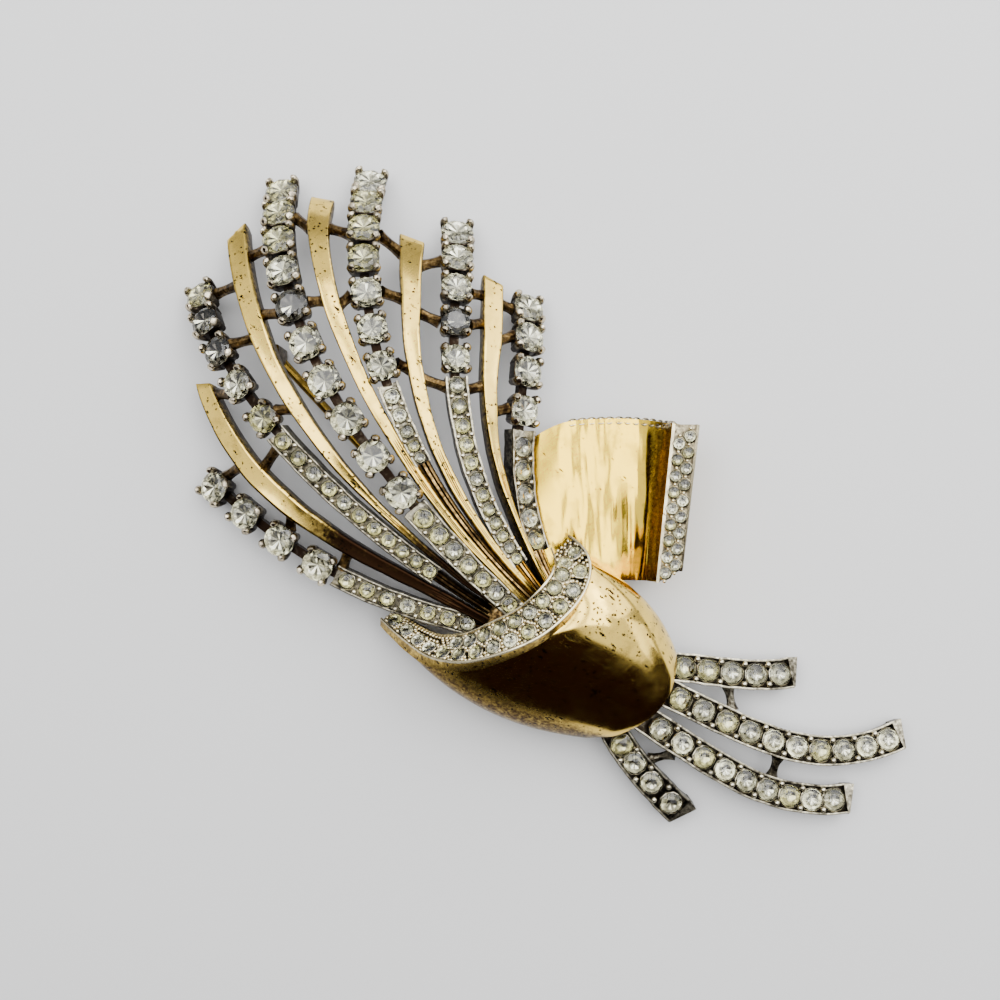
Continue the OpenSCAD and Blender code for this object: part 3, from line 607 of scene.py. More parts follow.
# The dark and grey foils are painted reflections: they line the upper facets of some stones and the
# star's rays
painted_dark_reflection_foil = foil_finish("painted_dark_reflection_foil", (0.06, 0.055, 0.05), (0.020, 0.018, 0.016))
painted_grey_reflection_foil = foil_finish("painted_grey_reflection_foil", (0.30, 0.29, 0.23), (0.12, 0.115, 0.085))
STONE_FINISHES = [clear_glass, straw_glass, clear_foil, olive_foil, painted_dark_reflection_foil, painted_grey_reflection_foil]
# A look is four places in that list: glass, foil of the lower facets, of the upper ones and of
# every second one in the middle. A darker upper foil paints the dark reflection on a stone's
# upper half, and a duller middle one paints the star's dark rays.
CLEAR, OLIVE, DARK = (0, 2, 2, 5), (1, 3, 3, 5), (0, 2, 4, 4)
GREY, SMOKY = (0, 2, 5, 5), (1, 3, 5, 3)
SMALL_LOOKS = (OLIVE, OLIVE, SMOKY, SMOKY, GREY, CLEAR)
SILVER_LOOKS = (CLEAR, GREY, GREY, SMOKY)
print("stone finishes:", [made.name for made in STONE_FINISHES])

# %% Cut stones
# Width of the table and heights of crown and pavilion, as shares of a stone's diameter
TABLE, CROWN, PAVILION = 0.62, 0.14, 0.16
# How much every second point of the ring round the culet is raised
FLASH = 0.02
# Diameter and doubled height of the girdle's upper edge, the star ring and the culet's ring
BEZEL, STAR, CULET_RING = (0.985, 0.04), (0.82, 0.20), (0.58, -0.21)


def round_order(place):
    return math.atan2(place.y, place.x)


def make_stone(sides, fine):
    """A round cut stone one millimetre across, with its girdle on the plane z = 0."""
    bm = bmesh.new()
    turn = Matrix.Rotation(math.pi / sides, 4, "Z")
    rings = [(sides * 2, 1.0, 0.0, False), (sides, TABLE, 2 * CROWN, True)]
    if fine:
        rings += [(sides * 2, *BEZEL, False), (sides, *STAR, False)]
    rings.append((sides * 2, *CULET_RING, False))
    for count, radius, height, half in rings:
        placed = Matrix.Translation((0, 0, height / 2)) @ (turn if half else Matrix())
        bmesh.ops.create_circle(bm, segments=count, radius=radius / 2, matrix=placed)
    bm.verts.new((0, 0, -PAVILION))
    bmesh.ops.convex_hull(bm, input=bm.verts)
    bmesh.ops.dissolve_limit(
        bm, angle_limit=FLAT, verts=bm.verts, edges=bm.edges, use_dissolve_boundaries=False
    )
    # Every second point of the lower ring is raised, so neighbouring facets flash in turn
    bmesh.ops.triangulate(bm, faces=[f for f in bm.faces if f.calc_center_median().z < 0])
    ring = [v for v in bm.verts if -PAVILION * 0.9 < v.co.z < -0.01]
    ring.sort(key=lambda v: round_order(v.co))
    for v in ring[::2]:
        v.co.z += FLASH
    bmesh.ops.recalc_face_normals(bm, faces=bm.faces)
    # Facets of the inner fan are marked in turn, for their foil; where it is duller, it paints the
    # star's dark rays
    fan = [f for f in bm.faces if any(v.co.z < -PAVILION * 0.9 for v in f.verts)]
    fan.sort(key=lambda f: round_order(f.calc_center_median()))
    for face in fan[::2]:
        face.material_index = 1
    mesh = bpy.data.meshes.new("stone_cut")
    bm.to_mesh(mesh)
    bm.free()
    return mesh


main_cut = make_stone(8, True)
small_cut = make_stone(6, False)
print("faces of a claw stone:", len(main_cut.polygons), "and a small one:", len(small_cut.polygons))
# Each stone is turned on by this angle, so that no two neighbours look alike
GOLDEN_TURN = math.radians(137.5)


def set_stone(bm, cut, place, size, look, number):
    """Adds one stone to a piece, turned its own way, with its glass and foil finishes."""
    recess_layer(bm)
    known = set(bm.faces)
    turn = Matrix.Rotation(number * GOLDEN_TURN, 4, "Z")
    join_in(bm, cut, place @ turn @ Matrix.Scale(size, 4))
    axis = place.to_3x3() @ Vector((0, 0, 1))
    for face in set(bm.faces) - known:
        crown = (face.calc_center_median() - place.translation).dot(axis) > 0
        # Back facets on the stone's upper side take the upper foil, which in some looks is darker and
        # paints a dark reflection
        upper = face.calc_center_median().y > place.translation.y
        glass, lower_foil, upper_foil, second_foil = look
        behind = second_foil if face.material_index else upper_foil if upper else lower_foil
        face.material_index = glass if crown else behind
        face.smooth = False


# %% Claw stones, a piece for each row
random.seed(7)
ROW_TURNS = 11
# Row and number, from the tip, of the stones whose foil has yellowed, and of those whose upper facets
# carry a painted dark reflection
YELLOWED = {(2, 0), (2, 2), (3, 1), (3, 2), (3, 3), (1, 0), (2, 1), (1, 4)}
PAINTED_DARK_TOPS = {(2, 4), (4, 3), (1, 1), (1, 2)}
# The real stones stand a little wider than their seats in the solids
STONE_GROWTH = 1.05


def claw_look(r, i):
    return DARK if (r, i) in PAINTED_DARK_TOPS else OLIVE if (r, i) in YELLOWED else CLEAR


for r, places in enumerate(claw_places):
    bm = bmesh.new()
    for i, (place, size) in enumerate(places):
        set_stone(bm, main_cut, place, size * STONE_GROWTH, claw_look(r, i), ROW_TURNS * r + i)
    names = [f"claw_stone_{r + 1}_{i + 1}" for i in range(len(places))]
    finish_piece(f"claw_stones_row_{r + 1}", bm, STONE_FINISHES, names, smooth_to=1)

# %% [markdown]
# Claw settings
#
# Each big stone sits in an open box of thin metal, and four round claws rise from its corners
# and bend over the stone's edge. A box could be cut out of a cube with a boolean, but that
# leaves poor edges. So it is a ring drawn out wall by wall and closed on itself, and a claw is a
# small round section swept along a bent line, thick at its knob.

# %% Cups with four claws
CUP_SIDES = 16
CUP_DEPTH = 1.7
CUP_RIM = -0.12
CUP_DIP = 0.14
# Metal beyond the stone at a corner, and how far a corner reaches past the flat side
CUP_MARGIN, CUP_CORNER = 0.32, 1.19
# Width of the foot and the waist as shares of the rim's, the waist's height, and the wall
CUP_FOOT, CUP_WAIST, CUP_WAIST_AT, CUP_WALL = 0.84, 0.94, -1.2, 0.24
CLAW_SIDES = 8
CLAW_SPREAD = 1.35
CLAW_OUT = 0.16


def rounded_square(half, height, dip=0.0):
    """Ring of points of a square with rounded corners, which dips between the corners."""
    points = []
    for k in range(CUP_SIDES):
        a = 2 * math.pi * (k + 0.5) / CUP_SIDES
        c, s = math.cos(a), math.sin(a)
        points.append(Vector((
            half * math.copysign(math.sqrt(abs(c)), c),
            half * math.copysign(math.sqrt(abs(s)), s),
            height - dip * math.cos(2 * a) ** 2,
        )))
    return points


def add_wall(bm, size):
    """The open box of a cup, wider at its rim than at its foot."""
    half = (size / 2 + CUP_MARGIN) / CUP_CORNER
    foot, waist = half * CUP_FOOT, half * CUP_WAIST
    # Half width, height, dip and recess value, up the outside and down the inside
    profile = [
        (foot, -CUP_DEPTH, 0.0, 1.0), (waist, CUP_WAIST_AT, 0.0, 1.0),
        (half, CUP_RIM, CUP_DIP, 0.9), (half - 0.10, CUP_RIM + 0.08, CUP_DIP, 0.6),
        (half - CUP_WALL, CUP_RIM, CUP_DIP, 1.0), (waist - CUP_WALL, CUP_WAIST_AT, 0.0, 1.0),
        (foot - CUP_WALL, -CUP_DEPTH, 0.0, 1.0),
    ]
    rings = [first_ring(bm, rounded_square(*profile[0][:3]))]
    for width, height, dip, _ in profile[1:]:
        rings.append(next_ring(bm, rings[-1], rounded_square(width, height, dip)))
    for ring, (*_, deep) in zip(rings, profile):
        set_recess(bm, ring, [deep] * len(ring))
    loose = ring_edges(bm, rings[0]) + ring_edges(bm, rings[-1])
    bmesh.ops.bridge_loops(bm, edges=loose)


def add_claw(bm, size, angle):
    """One claw, from the foot of the cup up its corner and over the stone's edge."""
    r = size / 2 + CLAW_OUT
    # Distance from the axis, height, half thickness and recess value
    path = [
        (r * 0.86, -1.62, 0.28, 1.0), (r * 0.97, -0.9, 0.34, 0.9), (r + 0.08, -0.3, 0.38, 0.6),
        (r + 0.13, 0.1, 0.40, 0.3), (r + 0.10, 0.38, 0.36, 0.05), (r - 0.06, 0.56, 0.27, 0.0),
        (r - 0.22, 0.60, 0.10, 0.1),
    ]
    turn = Matrix.Rotation(angle, 4, "Z")
    rings = []
    for n, (reach, height, half, deep) in enumerate(path):
        before, after = path[max(0, n - 1)], path[min(len(path) - 1, n + 1)]
        along = Vector((after[0] - before[0], 0, after[1] - before[1])).normalized()
        out = Vector((along.z, 0, -along.x))
        ring = []
        for k in range(CLAW_SIDES):
            a = 2 * math.pi * k / CLAW_SIDES
            around = out * math.cos(a) * half + Vector((0, math.sin(a) * half * CLAW_SPREAD, 0))
            ring.append(turn @ (Vector((reach, 0, height)) + around))
        rings.append(ring)
    made = sweep(bm, rings)
    for ring, (*_, deep) in zip(made, path):
        set_recess(bm, ring, [deep] * len(ring))


def make_cup(size):
    bm = bmesh.new()
    recess_layer(bm)
    add_wall(bm, size)
    for quarter in range(4):
        add_claw(bm, size, math.radians(45 + 90 * quarter))
    mesh = bpy.data.meshes.new("cup")
    bm.to_mesh(mesh)
    bm.free()
    return mesh


# %% Links between the cups
LINK_W = 1.0
LINK_TOP, LINK_BOTTOM = -0.8, -1.6
# How far a link runs into the cups
LINK_IN = 0.25


def bar_rings(rib, start, end, width, top, bottom, pieces=3):
    rings = []
    for n in range(pieces + 1):
        placed = rib.seat_at(start + (end - start) * n / pieces)
        rings.append([placed @ Vector(p) for p in (
            (-width / 2, 0, bottom), (-width / 2, 0, top), (width / 2, 0, top), (width / 2, 0, bottom),
        )])
    return rings


bm = bmesh.new()
recess_layer(bm)
for r, places in enumerate(claw_places):
    for i, (place, size) in enumerate(places):
        join_in(bm, make_cup(size), place)
        last = i == len(places) - 1
        inner = channel_outer(r) if last else claw_length(r, i + 1) + claw_size(r, i + 1) / 2
        outer = claw_length(r, i) - size / 2
        rings = bar_rings(row_ribs[r], inner - LINK_IN, outer + LINK_IN, LINK_W, LINK_TOP, LINK_BOTTOM)
        sweep(bm, rings, recess=(1.0, 0.9, 0.9, 1.0))
finish_piece("claw_settings", bm, [champagne], ["spray_frame"])

# %% [markdown]
# Channel bars
#
# Further in, each row of claw stones runs on as a silver-toned channel: a grooved bar with a
# thin rail on each side, small stones close together, and tiny beads of metal raised between
# them. An Array modifier along a curve could repeat the stones, but they shrink towards the
# neck. So the bar is one section swept along the rib, its rails are bevelled and a little out
# of line, and each stone, its thin collet and its beads are joined in at their own size.

# %% Grooved bars with stones
GROOVE = 1.1
SIDE_SLANT = 0.15
SLANT_FROM = -0.25
RAIL_ROUND = 0.07
# Numbers of the four long top edges of the rails in the bar's section
RAIL_EDGES = (2, 3, 6, 7)


def groove_section(width, height, depth, floor, worn):
    """Points of a grooved bar's section, from its lower left corner, with their recess values."""
    w, g = width / 2, width / 2 - RAIL_W
    points = [
        (-w + SIDE_SLANT, -height), (-w, SLANT_FROM), (-w, RAIL_RISE), (-g, RAIL_RISE), (-g, -depth),
        (g, -depth), (g, RAIL_RISE), (w, RAIL_RISE), (w, SLANT_FROM), (w - SIDE_SLANT, -height),
    ]
    edge = 0.05 + worn
    return points, (0.9, 0.5, worn, edge, floor, floor, edge, worn, 0.5, 0.9)


def round_rails(bm, rings):
    """Softens the four long top edges of a grooved bar's rails."""
    edges = []
    for k in RAIL_EDGES:
        for a, b in zip(rings, rings[1:]):
            edges.append(bm.edges.get((a[k], b[k])))
    soften(bm, edges, RAIL_ROUND)


def make_bead():
    bm = bmesh.new()
    bmesh.ops.create_uvsphere(bm, u_segments=8, v_segments=5, radius=0.5)
    mesh = bpy.data.meshes.new("bead")
    bm.to_mesh(mesh)
    bm.free()
    return mesh


bead = make_bead()
print("faces of a bead:", len(bead.polygons))

# %% Collets round the small stones
COLLET_SIDES = 10
# Distance from the stone's edge, height and recess value round a collet's wall
COLLET = [
    (0.17, -0.5, 0.7), (0.16, -0.02, 0.1), (0.09, 0.03, 0.2), (0.02, -0.05, 1.0), (0.0, -0.5, 1.0),
]
# Collets that are made already, by their size
collets = {}


def make_collet(size):
    """A thin ring of metal pressed up round a small stone."""
    if size in collets:
        return collets[size]
    bm = bmesh.new()
    recess_layer(bm)
    angles = [2 * math.pi * k / COLLET_SIDES for k in range(COLLET_SIDES)]
    rings = []
    for reach, height, deep in COLLET:
        r = size / 2 + reach
        points = [Vector((math.cos(a) * r, math.sin(a) * r, height)) for a in angles]
        rings.append(next_ring(bm, rings[-1], points) if rings else first_ring(bm, points))
        set_recess(bm, rings[-1], [deep] * COLLET_SIDES)
    bmesh.ops.bridge_loops(bm, edges=ring_edges(bm, rings[0]) + ring_edges(bm, rings[-1]))
    mesh = bpy.data.meshes.new("collet")
    bm.to_mesh(mesh)
    bm.free()
    collets[size] = mesh
    return mesh


def set_collets(bm, places):
    for place, size in places:
        join_in(bm, make_collet(round(size, 2)), place)


def set_beads(bm, places, reach, size, height):
    """Beads of raised metal at both sides, midway between neighbouring stones."""
    for (a, _), (b, _) in zip(places, places[1:]):
        middle = a.lerp(b, 0.5)
        for side in (-1, 1):
            spot = middle @ Matrix.Translation((side * reach, 0, height))
            join_in(bm, bead, spot @ Matrix.Scale(size, 4))


# A setting's metal comes after the stones' finishes in its list
METAL_SLOT = len(STONE_FINISHES)


def mark_metal(bm):
    """Gives all faces made so far the setting's metal."""
    for face in bm.faces:
        face.material_index = METAL_SLOT


print("place of the metal in a setting's list:", METAL_SLOT)

# %% Channels of the fan
CHANNEL_H = 1.9
CHANNEL_RINGS = 24
CHANNEL_DEPTH = 0.8
CHANNEL_FLOOR = 0.3
# Reach of the beads from the middle as a share of a stone, and their size
CHANNEL_BEAD = (0.42, 0.68)
CHANNEL_TURNS = 31
# Recess value of each channel's rails, highest on the left.
RAIL_RECESS = (0.36, 0.34, 0.28, 0.20, 0.16, 0.20)
# How far hand setting leaves the rails out of line sideways, and the share of it upwards
UNEVEN, UNEVEN_FLAT = 0.10, 0.6
# How often the rails stray along a channel, sideways and upwards
UNEVEN_SIDE, UNEVEN_UP = 9, 12


def uneven(points, t, key):
    """The same section with its rails a little out of line, as hand setting leaves them."""
    moved = []
    for x, z in points:
        # Each bar and each side of it reads a stretch of the noise that is its own
        own = key * 3.7 + math.copysign(2.0, x)
        drift = noise.noise(Vector((t * UNEVEN_SIDE, own, 0.0)))
        lift = noise.noise(Vector((t * UNEVEN_UP, own, 4.0)))
        moved.append((x + drift * UNEVEN, z + lift * UNEVEN * UNEVEN_FLAT))
    return moved


for r, rib in enumerate(row_ribs):
    bm = bmesh.new()
    recess_layer(bm)
    wide, narrow = channel_width(set_size(r, 0)), channel_width(set_size(r, SETS[r][0] - 1))
    t0, t1 = rib.place(channel_inner(r)), rib.place(channel_outer(r))
    rings = []
    for n in range(CHANNEL_RINGS + 1):
        share = n / CHANNEL_RINGS
        width = narrow + (wide - narrow) * share
        section, deep = groove_section(width, CHANNEL_H, CHANNEL_DEPTH, CHANNEL_FLOOR, RAIL_RECESS[r])
        placed = rib.seat(t0 + (t1 - t0) * share)
        rings.append([placed @ Vector((x, 0, z)) for x, z in uneven(section, share, r)])
    round_rails(bm, sweep(bm, rings, recess=deep))
    places = set_places[r]
    set_beads(bm, places, places[0][1] * CHANNEL_BEAD[0], CHANNEL_BEAD[1], 0.0)
    set_collets(bm, places)
    mark_metal(bm)
    for j, (place, size) in enumerate(places):
        look = random.choice(SMALL_LOOKS)
        set_stone(bm, small_cut, place, size, look, CHANNEL_TURNS * r + j)
    finish_piece(
        f"channel_row_{r + 1}", bm, [*STONE_FINISHES, rhodium],
        [f"channel_stones_{r + 1}"],
    )

# %% [markdown]
# Gilt bands
#
# Between the rows lie polished gilt bands, narrow at the neck and wide at their cut tips. Their
# faces are a little dished, which draws a long soft highlight along each one, their side walls
# are dark, and towards the neck each face is combed into four strands. A bump pattern could draw
# the combing, but its grooves wouldn't mirror the room. So the valleys are lowered points of
# the swept section, which fade out up the band. Near the neck the two left bands carry a painted
# dark reflection.

# %% Dished bands
BAND_H = 2.0
BAND_RINGS = 60
# Distance inside the edge, height and recess value of the points up a side wall
BAND_SIDE = ((SIDE_SLANT, -BAND_H, 1.0), (0.0, -0.9, 0.7), (0.0, -0.22, 0.45), (0.08, -0.05, 0.25))
# Where the face begins inside the edge, the depth of its dish, and the width that has all of it
FACE_IN = 0.2
DISH, FULL_DISH = 0.02, 1.8
# Points across half a band, and the numbers of those that are combed into valleys
ACROSS = 6
VALLEYS = (3, 6, 9)
COMB_DEPTH, COMB_RECESS = 0.17, 0.9
# How far up each band the combing reaches, and over what share it fades
COMB_UP = (0.20, 0.34, 0.42, 0.42, 0.38)
COMB_FADE = 0.26
# Recess value of each band's inner part that carries a painted dark reflection, and how far up the
# band it reaches
PAINTED_DARK_REFLECTION = ((1.0, 0.56), (0.95, 0.32), (0.45, 0.12), (0.0, 0.1), (0.0, 0.1))
DARK_REFLECTION_FADE = 0.13
# How far hand filing leaves an edge out of line, and how often it strays, sideways and upwards
WOBBLE = 0.11
FILED_SIDE, FILED_UP = 11, 9
# Where the slanted tip begins, its share of the length, and how far its edges are rounded
TIP_FROM, TIP_SHARE, TIP_ROUND = 0.9, 0.1, 0.08


def faded(top, t, fade):
    """One below the top, nothing at it, with an even fade between."""
    return min(1.0, max(0.0, (top - t) / fade))


def band_section(width, combed):
    """Points of a band's section with their recess values, combed by this share."""
    w = width / 2
    side = [(-w + inside, height, deep) for inside, height, deep in BAND_SIDE]
    points = list(side)
    for k in range(2 * ACROSS + 1):
        across = -1 + k / ACROSS
        dip = DISH * min(1.0, width / FULL_DISH) * (1 - across * across)
        valley = combed if k in VALLEYS else 0.0
        points.append((across * (w - FACE_IN), -dip - COMB_DEPTH * valley, COMB_RECESS * valley))
    points += [(-x, z, deep) for x, z, deep in reversed(side)]
    return [p[:2] for p in points], [p[2] for p in points]


def filed(x, z, t, skew):
    """The point with its edge a little uneven along its length, as hand filing leaves it."""
    # Skews differ from band to band, so each band reads its own stretch of the noise
    drift = noise.noise(Vector((t * FILED_SIDE, skew * 7 + math.copysign(3.0, x), 0.5)))
    lift = noise.noise(Vector((t * FILED_UP, skew * 5, x * 0.3)))
    return x + drift * WOBBLE, z + lift * WOBBLE * 0.5


bm = bmesh.new()
recess_layer(bm)
for b, (rib, (_, _, widths, skew)) in enumerate(zip(band_ribs, BANDS)):
    reflection_recess, reflection_up = PAINTED_DARK_REFLECTION[b]
    rings = []
    depths = []
    for n in range(BAND_RINGS + 1):
        t = n / BAND_RINGS
        width = through(widths, t)
        section, deep = band_section(width, faded(COMB_UP[b], t, COMB_FADE))
        # The inner part of the left bands is darkened as a painted dark reflection
        painted_reflection = reflection_recess * faded(reflection_up, t, DARK_REFLECTION_FADE)
        depths.append([max(value, painted_reflection) for value in deep])
        reach = skew * max(0.0, (t - TIP_FROM) / TIP_SHARE)
        placed = rib.seat(t)
        ring = []
        for x, z in section:
            moved_x, moved_z = filed(x, z, t, skew)
            ring.append(placed @ Vector((moved_x, -reach * 2 * x / width, moved_z)))
        rings.append(ring)
    made = sweep(bm, rings)
    for ring, deep in zip(made, depths):
        set_recess(bm, ring, deep)
    soften(bm, ring_edges(bm, made[-1]), TIP_ROUND)
finish_piece("gilt_bands", bm, [band_gilt], ["spray_frame"])

# %% [markdown]
# Strands and ties
#
# From each channel a plain rounded strand runs down to the neck, where all of them are soldered
# into one bundle. Short ties hold each rib to the next. They are flared where solder has crept
# round their ends. Plain cylinders would look like pins stuck between the ribs, so each tie is
# a round section swept between two ribs, thin in the middle.

# %% Strands to the neck
STRAND_W = [1.4, 1.2, 1.6, 1.5, 1.2, 1.6]
STRAND_NECK_W = 0.9
# Heights of the foot and of the straight sides' upper edge, and the rise of the rounded top
STRAND_LOW, STRAND_SIDE, STRAND_CROWN = -1.7, -0.4, 0.35
STRAND_RINGS = 16
STRAND_VALLEYS = (4, 8)
STRAND_VALLEY_DEPTH = 0.22
# How far a strand runs into its channel, and the shortest that is made
STRAND_IN, SHORTEST = 0.1, 0.5
# Least recess value of each strand. The high values on the left paint the shade that falls on those
# strands.
STRAND_SHADE = (0.8, 0.8, 0.7, 0.3, 0.1, 0.1)


def strand_section(width):
    """A rounded top on straight sides, with two fine grooves between three ridges."""
    points = [(-width / 2, STRAND_LOW, 1.0), (-width / 2, STRAND_SIDE, 0.9)]
    for k in range(1, 2 * ACROSS):
        across = -1 + k / ACROSS
        crown = -STRAND_CROWN * across * across
        if k in STRAND_VALLEYS:
            points.append((across * width / 2, crown - STRAND_VALLEY_DEPTH, 1.0))
        else:
            points.append((across * width / 2, crown, 0.1))
    points += [(width / 2, STRAND_SIDE, 0.9), (width / 2, STRAND_LOW, 1.0)]
    return [p[:2] for p in points], [p[2] for p in points]


bm = bmesh.new()
recess_layer(bm)
for r, rib in enumerate(row_ribs):
    end = channel_inner(r) + STRAND_IN
    if end < SHORTEST:
        continue
    rings = []
    for n in range(STRAND_RINGS + 1):
        width = STRAND_NECK_W + (STRAND_W[r] - STRAND_NECK_W) * n / STRAND_RINGS
        section, deep = strand_section(width)
        placed = rib.seat_at(end * n / STRAND_RINGS)
        rings.append([placed @ Vector((x, 0, z)) for x, z in section])
    sweep(bm, rings, recess=[max(value, STRAND_SHADE[r]) for value in deep])
print("faces of the strands:", len(bm.faces))

# %% Ties between the ribs
# Rib on the left, place on it, place on the next
TIES = [
    (0, 1.00, 0.77), (0, 0.71, 0.58), (0, 0.48, 0.40), (1, 0.72, 0.53), (1, 0.97, 0.69),
    (2, 1.00, 0.90), (2, 0.80, 0.78), (2, 0.59, 0.61), (3, 0.95, 0.86), (3, 0.82, 0.70),
    (4, 0.93, 0.90), (4, 0.70, 0.69), (5, 0.90, 0.84), (5, 0.67, 0.68), (6, 0.84, 0.96),
    (6, 0.68, 0.80), (6, 0.51, 0.59), (7, 0.92, 0.91), (7, 0.76, 0.71), (7, 0.56, 0.53),
    (8, 0.81, 0.96), (8, 0.71, 0.86), (8, 0.52, 0.62), (9, 0.94, 1.00), (9, 0.80, 0.90),
    (9, 0.52, 0.63),
]
# How far a tie ends inside a band's edge and a cup's, and its reach in a channel or strand
TIE_IN_BAND, TIE_IN_CUP, TIE_REACH = 0.3, 0.2, 0.8
TIE_DEPTH = 1.0
TIE_RINGS, TIE_SIDES = 8, 8
TIE_RECESS = 0.6
# Thickness at the ends, and the share of it that is left in the middle
FAN_TIE = (1.45, 0.78)


def tie_point(i, t, side):
    """A point inside rib i at its left (-1) or right (1) side."""
    if i % 2:
        reach = through(BANDS[i // 2][2], t) / 2 - TIE_IN_BAND
    elif t > ribs[i].place(channel_outer(i // 2)):
        reach = claw_size(i // 2, 0) / 2 - TIE_IN_CUP
    else:
        reach = TIE_REACH
    return ribs[i].seat(t) @ Vector((side * reach, 0, -TIE_DEPTH))


def add_tie(bm, a, b, thick, waist):
    """Round bar from a to b, thinner in the middle than at its soldered ends."""
    along = (b - a).normalized()
    turn = along.to_track_quat("Z", "Y").to_matrix().to_4x4()
    rings = []
    for n in range(TIE_RINGS + 1):
        x = n / TIE_RINGS
        half = thick / 2 * (waist + (1 - waist) * (2 * x - 1) ** 2)
        place = a.lerp(b, x)
        ring = []
        for k in range(TIE_SIDES):
            angle = 2 * math.pi * k / TIE_SIDES
            ring.append(place + turn @ Vector((math.cos(angle), math.sin(angle), 0)) * half)
        rings.append(ring)
    sweep(bm, rings, recess=[TIE_RECESS] * TIE_SIDES)


for i, here, there in TIES:
    add_tie(bm, tie_point(i, here, 1), tie_point(i + 1, there, -1), *FAN_TIE)
print("ties:", len(TIES), "and faces so far:", len(bm.faces))

# %% Solder at the neck
# Each lump is a low corner and a size
NECK_LEFT = ((-9.0, -14.4, 4.2), (1.6, 1.6, 1.2))
NECK_RIGHT = ((-0.5, -14.8, 4.6), (2.9, 5.0, 2.4))
SLEEVE_SEAT = ((1.0, -17.0, 4.6), (5.2, 3.4, 6.8))
RIBBON_SEAT = ((0.2, -10.6, 3.1), (2.2, 2.6, 2.2))
SOLDER_RECESS = 0.55
SOLDER_SOFTNESS = 0.35


def add_solder(bm, lumps, softness=SOLDER_SOFTNESS):
    """One lump of solder round the corners of these boxes, with its edges run smooth."""
    layer = recess_layer(bm)
    own = bmesh.new()
    for low, size in lumps:
        middle = Vector(low) + Vector(size) / 2 + TO_MIDDLE
        placed = Matrix.Translation(middle) @ Matrix.Diagonal((*size, 1.0))
        bmesh.ops.create_cube(own, size=1.0, matrix=placed)
    made = bmesh.ops.convex_hull(own, input=own.verts)
    inside = [v for v in made["geom_interior"] if isinstance(v, bmesh.types.BMVert)]
    bmesh.ops.delete(own, geom=inside, context="VERTS")
    unused = [f for f in made["geom_unused"] if isinstance(f, bmesh.types.BMFace)]
    bmesh.ops.delete(own, geom=[f for f in unused if f.is_valid], context="FACES_ONLY")
    bmesh.ops.dissolve_limit(
        own, angle_limit=FLAT, verts=own.verts, edges=own.edges, use_dissolve_boundaries=False
    )
    soften(own, own.edges[:], softness, segments=3)
    mesh = bpy.data.meshes.new("solder")
    own.to_mesh(mesh)
    own.free()
    known = set(bm.verts)
    bm.from_mesh(mesh)
    for v in set(bm.verts) - known:
        v[layer] = SOLDER_RECESS


for lumps in ([NECK_LEFT, NECK_RIGHT], [SLEEVE_SEAT], [RIBBON_SEAT]):
    add_solder(bm, lumps)
finish_piece("neck_strands", bm, [dark_gilt], ["spray_frame"])

# %% [markdown]
# The rolled sleeve
#
# A sheet of gilt brass is rolled round the neck of the spray. It could be spun, but its two rims
# are different curves. So it starts as a flat grid whose two directions follow the sheet and is
# bent to its curved lines. A Solidify modifier gives it its wall, and a Bevel modifier rounds
# the rims.

# %% Sheet lines and the sleeve
SLEEVE = [
    [(-17.0, -13.7, 2.2), (-6.8, -22.7, 0.6), (2.8, -25.4, 2.0)],
    [(-15.4, -15.2, 4.7), (-6.5, -22.6, 5.6), (4.6, -26.1, 4.8)],
    [(-13.0, -17.0, 6.6), (-5.0, -22.1, 8.1), (6.4, -25.9, 6.4)],
    [(-9.6, -17.8, 9.0), (-0.9, -20.3, 10.4), (8.8, -25.3, 7.8)],
    [(-4.6, -16.7, 11.7), (3.5, -17.2, 12.4), (12.0, -23.2, 9.2)],
    [(0.5, -14.2, 13.0), (7.0, -14.1, 13.1), (13.8, -20.8, 9.5)],
    [(4.2, -10.4, 12.9), (9.8, -12.3, 11.9), (14.6, -18.5, 8.7)],
    [(5.6, -7.2, 11.4), (11.3, -11.0, 9.2), (14.9, -16.8, 7.0)],
    [(4.6, -6.6, 8.6), (10.9, -11.2, 5.0), (14.6, -16.4, 4.8)],
]
# Faces of the grid between the two rims and round the sheet
SHEET_ACROSS, SHEET_ROUND = 30, 48
# Thickness of the wall, and the share of it that the lowest points keep above the table
SLEEVE_WALL, SLEEVE_LOW = 1.1, 0.7
RIM_ROUND = 0.12
# The low side of the sheet is darkened up to this place on it: mottled where its gilding has gone, and
# a painted dark reflection
LOW_WEAR_AND_REFLECTION = 0.62
WEAR_AND_REFLECTION_TO, WEAR_AND_REFLECTION_FADE = 0.34, 0.07


def quad(line, t):
    """Curve through three points, at t = 0, 1/2 and 1."""
    a, b, c = (Vector(p) for p in line)
    return a * (2 * (t - 0.5) * (t - 1)) - b * (4 * t * (t - 1)) + c * (2 * t * (t - 0.5))


def smooth(values, x):
    """Curve through a list of values, the first at x = 0, the next at 1 and so on."""
    i = min(int(math.floor(x)), len(values) - 2)
    t = x - i
    a, b, c, d = (values[max(0, min(len(values) - 1, i + k))] for k in (-1, 0, 1, 2))
    t1, t2, t3 = (c - a) / 2, (2 * a - 5 * b + 4 * c - d) / 2, (3 * b - a - 3 * c + d) / 2
    return b + t1 * t + t2 * t * t + t3 * t * t * t


def sleeve_point(u, v):
    return smooth([quad(line, u) for line in SLEEVE], v * (len(SLEEVE) - 1))


